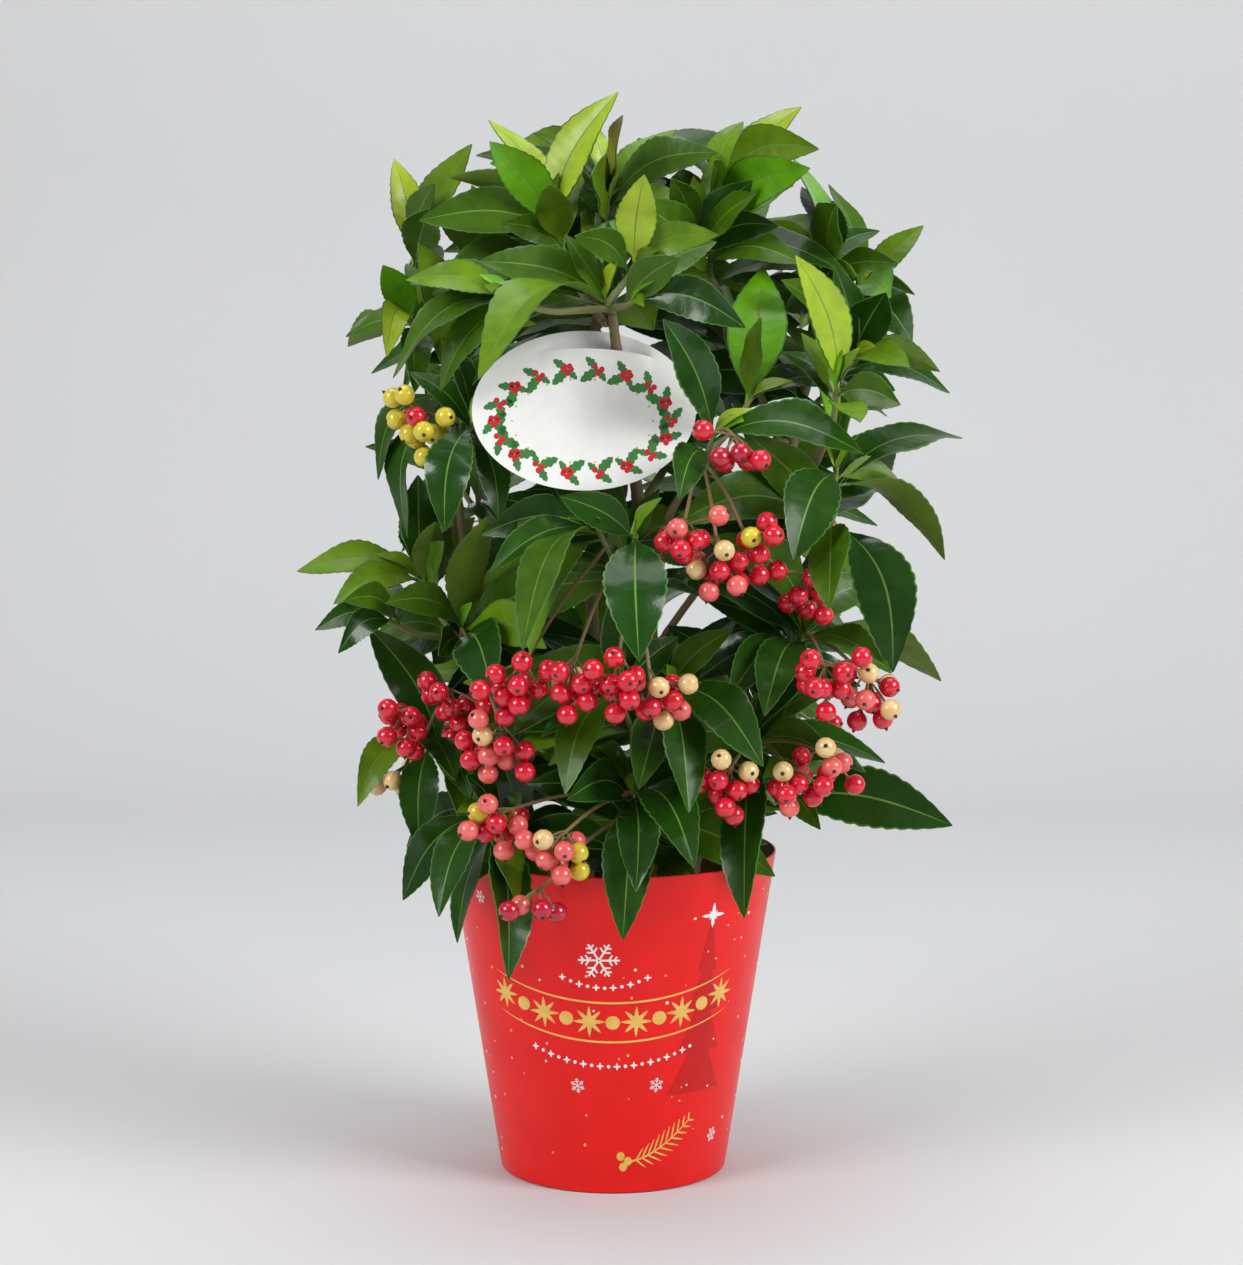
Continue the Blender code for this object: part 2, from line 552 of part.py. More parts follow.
def build_limbs(solids):
    """Make the stems and boughs, and return the centre line and radii of each."""
    lines = {}
    for limb in STEMS + BOUGHS:
        if limb.parent is None:
            start = np.array((*limb.start, SOIL_TOP + SEAT_GAP))
            path, radii = limb_path(limb, start)
            heights = np.array(FLARE_HEIGHTS)
            foot = start + heights[:, None] * (0, 0, 1)
            foot[-1, :2] += (path[1][:2] - start[:2]) * FLARE_LEAN
            path = np.vstack([foot, path[1:]])
            radii = np.concatenate([limb.foot * (1 + FLARE * np.exp(-heights / FLARE_FADE)), radii[1:]])
        elif limb.start is None:
            start, along = tip_start(lines[limb.parent][0])
            path, radii = limb_path(limb, start)
            path = np.vstack([start, start + along * 3, path[1:]])
            radii = np.concatenate([radii[:1], radii])
        else:
            parent_path, parent_radii = lines[limb.parent]
            start, outward = side_start(parent_path, parent_radii, limb.start, limb.route[0], limb.foot)
            bend = start + outward * BOUGH_TURN + np.array((0, 0, BOUGH_RISE))
            route = [np.array(point, float) for point in limb.route]
            path = smooth_path([start + outward * BOUGH_FOOT, bend] + route, 2)
            path = np.vstack([start, path[0], path[2:]])
            radii = limb.foot + (limb.tip - limb.foot) * np.linspace(0, 1, len(path))
        lines[limb.name] = (path, radii)
        points, faces = tube(path, radii, limb.sides)
        add_object(limb.name, points, faces, "bark", 40)
        solids.add(limb.name, points, faces)
    return lines


def blade_axes(chord, show):
    """Return the directions across and above a leaf's blade from its chord.

    The blade is rolled about the chord until it shows the wanted width from the front,
    as a share of its own width. A negative share turns its underside to the front.
    """
    along = unit(chord)
    heading = math.atan2(along[1], along[0])
    across = np.array((math.sin(heading), -math.cos(heading), 0.0))
    above = np.cross(across, along)
    seen = np.array((-along[2], 0.0, along[0]))
    if np.linalg.norm(seen) < 0.05:
        return across, above
    seen = unit(seen)
    flat, upright = np.dot(across, seen), np.dot(above, seen)
    most = math.hypot(flat, upright)
    middle = math.atan2(upright, flat)
    spread = math.acos(min(1.0, abs(show) / most))
    best = None
    for roll in (middle + spread, middle - spread, middle + spread + math.pi, middle - spread + math.pi):
        roll = (roll + math.pi) % (2 * math.pi) - math.pi
        side = across * math.cos(roll) + above * math.sin(roll)
        face = above * math.cos(roll) - across * math.sin(roll)
        wrong_face = (face[1] < 0) != (show > 0)
        cost = abs(roll) + (10 if wrong_face else 0)
        if best is None or cost < best[0]:
            best = (cost, side, face)
    return best[1], best[2]


def blade(root, tip, show, bow, grow=0.0, start=0.0):
    """Return the points and faces of one leaf, a closed folded blade of sixteen triangles.

    The blade follows an arch from its root to its tip. grow adds a margin all round it
    and start leaves out its foot, both for clearance tests.
    """
    chord = tip - root
    length = np.linalg.norm(chord)
    width = max(abs(show), LEAF_SLENDERNESS * length)
    side, face = blade_axes(chord, show / width)
    heading = math.atan2(chord[1], chord[0])
    level = np.array((math.sin(heading), -math.cos(heading), 0.0))
    lift = np.cross(level, unit(chord))
    thick = max(LEAF_THINNEST, LEAF_THICKNESS * length) / 2 + grow

    def middle(t):
        """Return the midrib's place at a share of the length."""
        return root + chord * t + lift * bow * length * math.sin(math.pi * t ** 0.85)

    points = [middle(start)]
    for t, share in LEAF_STATIONS:
        centre = middle(t)
        half = share * width / 2 + grow
        points.append(centre + side * half + face * LEAF_FOLD * half)
        points.append(centre + face * thick)
        points.append(centre - side * half + face * LEAF_FOLD * half)
        points.append(centre - face * thick)
    points.append(tip + unit(chord) * grow)
    faces = []
    for corner in range(4):
        after = (corner + 1) % 4
        faces.append((0, 1 + corner, 1 + after))
        faces.append((1 + corner, 5 + corner, 5 + after))
        faces.append((1 + corner, 5 + after, 1 + after))
        faces.append((9, 5 + after, 5 + corner))
    return np.array(points), faces


def outward_faces(points, faces):
    """Return the faces wound so that the closed shape's volume is positive."""
    volume = 0.0
    for a, b, c in faces:
        volume += np.dot(points[a], np.cross(points[b], points[c]))
    return faces if volume > 0 else [face[::-1] for face in faces]


def berry(centre, radius, toward):
    """Return the points and faces of one round fruit of twenty triangles, with the middle
    of a face turned toward its stalk."""
    ball = bmesh.new()
    bmesh.ops.create_icosphere(ball, subdivisions=1, radius=radius)
    ball.normal_update()
    ball.faces.ensure_lookup_table()
    turn = ball.faces[0].normal.rotation_difference(Vector(toward))
    bmesh.ops.rotate(ball, verts=ball.verts, matrix=turn.to_matrix())
    points = np.array([vert.co for vert in ball.verts]) + centre
    faces = [tuple(vert.index for vert in face.verts) for face in ball.faces]
    ball.free()
    return points, faces


def umbel(cluster, rng):
    """Return the joint of a cluster's rays and its berries' places.

    The berries lie on a round cap below the joint, as far out as keeps them apart.
    The cap's axis leans outwards from the crown.
    """
    middle = np.array(cluster.middle, float)
    outward = unit(middle * (1, 1, 0) - np.array((*CROWN_AXIS, 0)))
    axis = unit(outward * UMBEL_LEAN - np.array((0, 0, 1)))
    width = math.radians(cluster.spread)
    share = (np.arange(cluster.count) + 0.5) / cluster.count
    reach = BERRY_SPACING * math.sqrt(cluster.count * 0.9 / (2 * math.pi * (1 - math.cos(width))))
    reach = max(reach, UMBEL_LEAST)
    level = unit(np.cross(axis, (0, 0, 1)))
    beside = np.cross(axis, level)
    lean = np.arccos(1 - share * (1 - math.cos(width)))[:, None]
    turns = (np.arange(cluster.count) * GOLDEN_ANGLE + rng.uniform(0, math.tau))[:, None]
    aims = axis * np.cos(lean) + (level * np.cos(turns) + beside * np.sin(turns)) * np.sin(lean)
    for _ in range(UMBEL_ROUNDS):
        offsets = aims[:, None] - aims[None]
        gaps = np.linalg.norm(offsets, axis=2) + np.eye(cluster.count) * 9
        push = np.clip(BERRY_SPACING / reach - gaps, 0, None)[..., None] * offsets / gaps[..., None]
        aims = aims + 0.4 * push.sum(axis=1)
        aims /= np.linalg.norm(aims, axis=1, keepdims=True)
    joint = middle - axis * reach * 0.6
    lengths = reach * np.array([rng.uniform(0.96, 1.1) for _ in share])
    return joint, joint + aims * lengths[:, None]


def fill_leaf(axis, line, number, count, rng, back_only):
    """Return the root, tip and arch of one leaf of the spiral round a shoot."""
    share = (number + 0.5) / count
    turn = number * GOLDEN_ANGLE + rng.uniform(-0.3, 0.3)
    level = unit(np.cross(axis, (0.2, 0.1, 1) if abs(axis[2]) < 0.9 else (1, 0, 0)))
    beside = np.cross(axis, level)
    lean = math.radians(FILL_LEAN[0] + FILL_LEAN[1] * share + rng.uniform(-8, 8))
    out = level * math.cos(turn) + beside * math.sin(turn)
    if back_only and out[1] < 0:
        out = out - np.array((0, 2 * out[1], 0))
    aim = axis * math.cos(lean) + out * math.sin(lean)
    length = (FILL_LENGTH[0] + FILL_LENGTH[1] * share) * rng.uniform(0.88, 1.1)
    root = back_along(line, 2 + LEAF_STEP * 1.3 * number)
    tip = root + aim * length
    tip[2] -= length * (FILL_DROOP[0] + FILL_DROOP[1] * share)
    return root, tip, FILL_ARCH[0] + FILL_ARCH[1] * share


def inside_crown(points):
    """Tell whether all the points lie within the crown's round envelope."""
    reach = np.hypot(points[:, 0] - CROWN_AXIS[0], points[:, 1] - CROWN_AXIS[1])
    room = np.interp(points[:, 2], CROWN_HEIGHTS, CROWN_RADII)
    return bool(np.all(reach < room) and points[:, 2].min() > CROWN_HEIGHTS[0])


def back_along(line, distance):
    """Return the point of a twig's line at a distance back from its tip."""
    spans = np.linalg.norm(np.diff(line[::-1], axis=0), axis=1)
    travelled = np.concatenate([[0], np.cumsum(spans)])
    distance = min(distance, 0.8 * travelled[-1])
    return np.array([np.interp(distance, travelled, line[::-1, axis]) for axis in range(3)])


def twig_path(start, outward, hub):
    """Return a gently curved path from a start, first outward and then to the hub."""
    length = np.linalg.norm(hub - start)
    first = start + outward * min(TWIG_START, 0.25 * length)
    middle = (first + hub) / 2 - np.array((0, 0, TWIG_SAG * length))
    return np.vstack([start, smooth_path([first, middle, hub], 2)])


def join(name, pieces, solver="EXACT"):
    """Fuse the pieces into one solid by a Boolean union on a collection."""
    group = bpy.data.collections.new(name + "_pieces")
    bpy.context.scene.collection.children.link(group)
    base_points, base_faces = pieces[0]
    base = add_object(name, base_points, base_faces, "leaf")
    for number, (points, faces) in enumerate(pieces[1:]):
        piece = add_object(f"{name}_{number}", points, faces, "leaf")
        bpy.context.scene.collection.objects.unlink(piece)
        group.objects.link(piece)
    union = base.modifiers.new("join", "BOOLEAN")
    union.operation = "UNION"
    union.operand_type = "COLLECTION"
    union.collection = group
    union.solver = solver
    bpy.context.view_layer.update()
    fused = bpy.data.meshes.new_from_object(base.evaluated_get(bpy.context.evaluated_depsgraph_get()))
    base.modifiers.clear()
    base.data = fused
    for piece in list(group.objects):
        bpy.data.objects.remove(piece, do_unlink=True)
    bpy.data.collections.remove(group)
    if not clean(base) and solver == "EXACT":
        bpy.data.objects.remove(base, do_unlink=True)
        join(name, pieces, "MANIFOLD")


def clean(thing):
    """Triangulate a fused mesh, keep its largest body and tell whether that is closed."""
    mesh = bmesh.new()
    mesh.from_mesh(thing.data)
    bmesh.ops.triangulate(mesh, faces=mesh.faces)
    mesh.verts.ensure_lookup_table()
    unseen = set(mesh.verts)
    bodies = []
    while unseen:
        body = {unseen.pop()}
        edge = list(body)
        while edge:
            vert = edge.pop()
            for link in vert.link_edges:
                other = link.other_vert(vert)
                if other in unseen:
                    unseen.discard(other)
                    body.add(other)
                    edge.append(other)
        bodies.append(body)
    bodies.sort(key=len, reverse=True)
    for body in bodies[1:]:
        bmesh.ops.delete(mesh, geom=list(body), context="VERTS")
    whole = all(edge.is_manifold for edge in mesh.edges) and mesh.calc_volume() > 0
    mesh.to_mesh(thing.data)
    mesh.free()
    return whole


def grow_twigs(mass, lines, solids, pieces):
    """Grow a mass's main twig and side shoots, and return each shoot's hub and axis."""
    path, radii = lines[mass.limb]
    hub = np.array(mass.shoots[0].hub, float)
    if mass.start is None:
        start, outward = tip_start(path)
    else:
        start, outward = side_start(path, radii, mass.start, hub, TWIG_FOOT)
    foot = min(TWIG_FOOT, radii[-1] + 0.2) if mass.start is None else TWIG_FOOT
    main = twig_path(start, outward, hub)
    hubs = {}
    for shoot in mass.shoots:
        hub = np.array(shoot.hub, float)
        if shoot is mass.shoots[0]:
            line = main
        else:
            spot = shoot.origin * (len(main) - 1)
            low = int(spot)
            origin = main[low] + (spot - low) * (main[low + 1] - main[low])
            line = twig_path(origin, unit(hub - origin), hub)[1:]
            line[0] = origin
        points, faces = tube(line, np.linspace(foot, TWIG_TIP, len(line)), 3)
        pieces[mass.name].append((points, faces))
        solids.add(mass.name, points, faces)
        hubs[shoot.name] = (mass.name, line, unit(line[-1] - line[-2]))
    return hubs


def grow_fruit(hubs, solids, pieces, rng):
    """Grow every berry cluster: a stalk from its shoot to a joint, and a ray to each berry."""
    for cluster in CLUSTERS:
        owner, line, _ = hubs[cluster.shoot]
        joint, places = umbel(cluster, rng)
        bearing = line[2:]
        root = bearing[int(np.argmin(np.linalg.norm(bearing - joint, axis=1)))]
        bend = (root + joint) / 2 + np.array((0, 0, STALK_RISE))
        stalk = tube(np.array([root, bend, joint]), STALK_RADII, 4)
        if solids.touches(*stalk, skip=(owner,)):
            continue
        pieces[owner].append(stalk)
        solids.add(owner, *stalk)
        for number, place in enumerate(places):
            knot = joint + unit(bend - joint) * (RAY_FIRST + RAY_STEP * number)
            toward = unit(knot - place)
            ball = berry(place, BERRY_RADIUS, toward)
            tested = berry(place, BERRY_RADIUS + CLEARANCE, toward)
            ray = tube(np.array([knot, place + toward * BERRY_RADIUS * 0.6]), (RAY_RADIUS, RAY_RADIUS), 3)
            if solids.touches(*tested, skip=(owner,)) or solids.touches(*ray, skip=(owner, owner + " berry")):
                continue
            pieces[owner] += [ray, ball]
            solids.add(owner + " berry", *ball)
            solids.add(owner, *ray)


def try_leaf(owner, root, tip, show, bow, solids, pieces):
    """Add a leaf where it touches nothing but its own twig, and tell whether it was added."""
    whole = blade(root, tip, show, bow, CLEARANCE)
    trimmed = blade(root, tip, show, bow, 0.0, OWN_TWIG_SHARE)
    own = (owner, owner + " berry", owner + " leaf")
    if solids.touches(*whole, skip=own) or solids.touches(*trimmed):
        return False
    points, faces = blade(root, tip, show, bow)
    pieces[owner].append((points, outward_faces(points, faces)))
    solids.add(owner + " leaf", *whole)
    return True


def grow_leaves(hubs, solids, pieces, rng):
    """Grow the leaves that shape the crown, then those that fill it from behind."""
    shoots = [shoot for mass in MASSES for shoot in mass.shoots]
    for shoot in shoots:
        owner, line, _ = hubs[shoot.name]
        hub = np.array(shoot.hub, float)
        for number, (right, back, up, show, bow) in enumerate(shoot.leaves):
            root = back_along(line, 1.5 + LEAF_STEP * 0.7 * number)
            for shift in LEAF_SHIFTS:
                tip = hub + np.array((right, back + shift, up), float)
                if try_leaf(owner, root, tip, show, bow, solids, pieces):
                    break
    for shoot in shoots:
        owner, line, axis = hubs[shoot.name]
        for number in range(shoot.fill):
            for _ in range(FILL_TRIES):
                root, tip, bow = fill_leaf(axis, line, number, shoot.fill, rng, bool(shoot.leaves))
                show = LEAF_SLENDERNESS * np.linalg.norm(tip - root) * rng.uniform(0.35, 0.9)
                points, _ = blade(root, tip, show, bow)
                if inside_crown(points) and try_leaf(owner, root, tip, show, bow, solids, pieces):
                    break


def main():
    """Build the pot, the tag, the limbs and the foliage."""
    clear_scene()
    rng = random.Random(SEED)
    solids = Solids()
    build_pot()
    build_tag()
    for name in ("pot_cover", "soil", "tag"):
        mesh = bpy.data.objects[name].data
        points = np.array([vert.co for vert in mesh.vertices]) / MM
        solids.add(name, points, [tuple(face.vertices) for face in mesh.polygons])
    lines = build_limbs(solids)
    pieces = {mass.name: [] for mass in MASSES}
    hubs = {}
    for mass in MASSES:
        hubs.update(grow_twigs(mass, lines, solids, pieces))
    grow_fruit(hubs, solids, pieces, rng)
    grow_leaves(hubs, solids, pieces, rng)
    for mass in MASSES:
        join(mass.name, pieces[mass.name])


main()
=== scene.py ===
"""Potted coralberry, dressed: glossy toothed leaves, berry clusters, bark, card cover and tag.

Sizes are in millimetres. X runs to the right, Y to the back and Z up, with the origin at
the middle of the pot's flat underside. The plant grows by the same seeded rule as its
solids: stems, boughs, a main twig and side shoots for each mass, then fruit and leaves.
"""
import json
import logging
import math
import random
from collections import namedtuple
from dataclasses import dataclass, field
from enum import Enum
from typing import Optional, Sequence

import bmesh
import bpy
import numpy as np
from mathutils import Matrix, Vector
from mathutils.bvhtree import BVHTree

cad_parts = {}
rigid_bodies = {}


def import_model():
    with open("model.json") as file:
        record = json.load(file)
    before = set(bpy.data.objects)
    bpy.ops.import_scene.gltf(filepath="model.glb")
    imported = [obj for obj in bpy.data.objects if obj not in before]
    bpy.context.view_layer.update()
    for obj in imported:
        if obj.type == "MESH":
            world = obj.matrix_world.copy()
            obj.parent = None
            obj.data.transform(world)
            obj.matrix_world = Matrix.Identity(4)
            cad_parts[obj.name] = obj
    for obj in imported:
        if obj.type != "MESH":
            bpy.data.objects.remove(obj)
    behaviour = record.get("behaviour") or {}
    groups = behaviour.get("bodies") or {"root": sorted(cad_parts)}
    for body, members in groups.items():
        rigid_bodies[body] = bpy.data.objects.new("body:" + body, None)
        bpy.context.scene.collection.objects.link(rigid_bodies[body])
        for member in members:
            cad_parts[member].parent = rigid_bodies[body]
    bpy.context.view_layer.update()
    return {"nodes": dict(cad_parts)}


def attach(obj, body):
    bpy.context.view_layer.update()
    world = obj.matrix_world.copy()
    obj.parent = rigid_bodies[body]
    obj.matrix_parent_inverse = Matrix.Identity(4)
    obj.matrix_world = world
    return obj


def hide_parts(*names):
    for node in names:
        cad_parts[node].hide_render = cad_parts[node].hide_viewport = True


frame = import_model()
log = logging.getLogger("coralberry")

MM = 0.001
BODY = "root"
UV_NAME = "leaf"

RIM_RADIUS = 67.5
BASE_RADIUS = 46.8
COVER_HEIGHT = 133.0
CARD_WALL = 0.9
SOIL_TOP = 106.0
SEAT_GAP = 0.3

TAG_CENTRE = (-11.0, 315.5)
TAG_HALF = (43.1, 30.5)
TAG_THICKNESS = 0.6
TAG_PLANE_Y = -61.5
TAG_STEM_X = 1.5
TAG_LEAN = 0.25
TAG_LIP = 2.9
TAG_LIP_FADE = 12.0

FLARE = 0.6
FLARE_FADE = 6.0
FLARE_HEIGHTS = (0.0, 4.0, 12.0)
FLARE_LEAN = 0.15
BOUGH_FOOT = 2.5
BOUGH_TURN = 4.0
BOUGH_RISE = 1.0
TIP_RUN = 3.0

TWIG_FOOT = 1.9
TWIG_TIP = 1.2
TWIG_START = 5.0
TWIG_START_SHARE = 0.25
TWIG_SAG = 0.06
STALK_RADII = (1.0, 1.1, 1.15)
STALK_RISE = 3.0
RAY_RADIUS = 0.55
RAY_FIRST = 0.6
RAY_STEP = 1.3
RAY_END = 0.6
RAY_SCALE = (0.96, 1.1)
BERRY_RADIUS = 4.1
BERRY_SPACING = 8.8
UMBEL_LEAN = 0.45
UMBEL_LEAST = 7.5
UMBEL_ROUNDS = 80
UMBEL_PACKING = 0.9
UMBEL_PUSH = 0.4
UMBEL_JOINT = 0.6
FAR = 9.0
LEAF_SLENDERNESS = 0.34
LEAF_THICKNESS = 1 / 60
LEAF_THINNEST = 0.9
LEAF_STATIONS = ((0.30, 0.96), (0.66, 0.84))
LEAF_FOLD = 0.16
LEAF_STEP = 3.2
LEAF_SHIFTS = (0, -7, 7, -13, 13, -20, 20, -27)
CLEARANCE = 0.45
OWN_TWIG_SHARE = 0.25
END_ON = 0.05
WRONG_SIDE_COST = 10
FILL_LENGTH = (46.0, 26.0)
FILL_LEAN = (28.0, 62.0)
FILL_DROOP = (0.10, 0.22)
FILL_ARCH = (0.10, 0.08)
FILL_TRIES = 7
FILL_TURN_PLAY = 0.3
FILL_LEAN_PLAY = 8.0
FILL_SCALE = (0.88, 1.1)
FILL_SHOW = (0.35, 0.9)
FILL_FIRST = 2.0
FILL_STEP = 1.3
SHAPE_FIRST = 1.5
SHAPE_STEP = 0.7
SEED = 20
GOLDEN_ANGLE = math.radians(137.508)
CROWN_AXIS = (8.0, -2.0)
CROWN_HEIGHTS = (90, 140, 200, 260, 330, 390, 415, 440)
CROWN_RADII = (78, 100, 112, 122, 126, 112, 88, 40)

Limb = namedtuple("Limb", "name parent start route foot tip sides")
Shoot = namedtuple("Shoot", "name origin hub fill leaves")
Mass = namedtuple("Mass", "name limb start shoots")
Cluster = namedtuple("Cluster", "shoot middle spread count")

# A stem's start is where it leaves the soil.
STEMS = (
    Limb("stem_left", None, (-22, -6), ((-44, -9, 178), (-58, -12, 236), (-66, -10, 296)), 3.4, 2.0, 7),
    Limb("stem_middle", None, (8, -22), ((15, -38, 218), (10, -50, 280), (2, -61, 336), (0, -63, 352)),
         3.3, 1.7, 7),
    Limb("stem_right", None, (30, 4), ((43, 1, 176), (59, 0, 223), (66, 1, 247), (73, 4, 298), (80, 4, 330)),
         3.8, 2.1, 7),
    Limb("stem_back", None, (-4, 26), ((-8, 34, 200), (-10, 28, 300), (-5, 8, 372)), 3.5, 1.8, 7),
)

# A bough's start is the height at which it leaves its stem, or None to follow on from the tip.
BOUGHS = (
    Limb("bough_crown_left", "stem_left", None, ((-73, -10, 320), (-77, -9, 338)), 2.0, 1.6, 5),
    Limb("bough_crown_inner", "stem_middle", 349, ((-11, -53, 359), (-18, -46, 374)), 1.5, 1.4, 5),
    Limb("bough_crown_right", "stem_right", 300, ((56, -8, 330), (42, -16, 362)), 1.8, 1.5, 5),
    Limb("bough_crown_outer", "stem_right", None, ((82, 3, 342), (85, 1, 356)), 2.0, 1.6, 5),
    Limb("bough_right_front", "stem_right", 256, ((76, -28, 282), (84, -58, 306)), 1.9, 1.5, 5),
    Limb("bough_front_right", "stem_middle", 256, ((22, -58, 274), (31, -65, 290)), 1.8, 1.5, 5),
    Limb("bough_left_upper", "stem_left", 258, ((-62, -24, 280), (-62, -36, 300)), 1.8, 1.5, 5),
    Limb("bough_left_side", "stem_left", 192, ((-54, -20, 206), (-60, -24, 218)), 1.8, 1.5, 5),
    Limb("bough_right_mid", "stem_right", 226, ((74, -22, 246), (83, -38, 264)), 1.9, 1.5, 5),
    Limb("bough_right_low", "stem_right", 182, ((60, -22, 200), (70, -36, 216)), 1.9, 1.5, 5),
    Limb("bough_right_base", "stem_right", 136, ((46, -14, 150), (52, -26, 166)), 1.9, 1.5, 5),
    Limb("bough_back_left", "stem_back", 268, ((-34, 46, 306), (-44, 54, 334)), 1.9, 1.5, 5),
    Limb("bough_back_right", "stem_back", 250, ((30, 50, 300), (50, 58, 328)), 1.9, 1.5, 5),
    Limb("bough_back_mid_left", "stem_back", 200, ((-38, 46, 240), (-54, 50, 264)), 1.9, 1.5, 5),
    Limb("bough_back_mid_right", "stem_back", 184, ((30, 48, 228), (54, 54, 258)), 1.9, 1.5, 5),
)

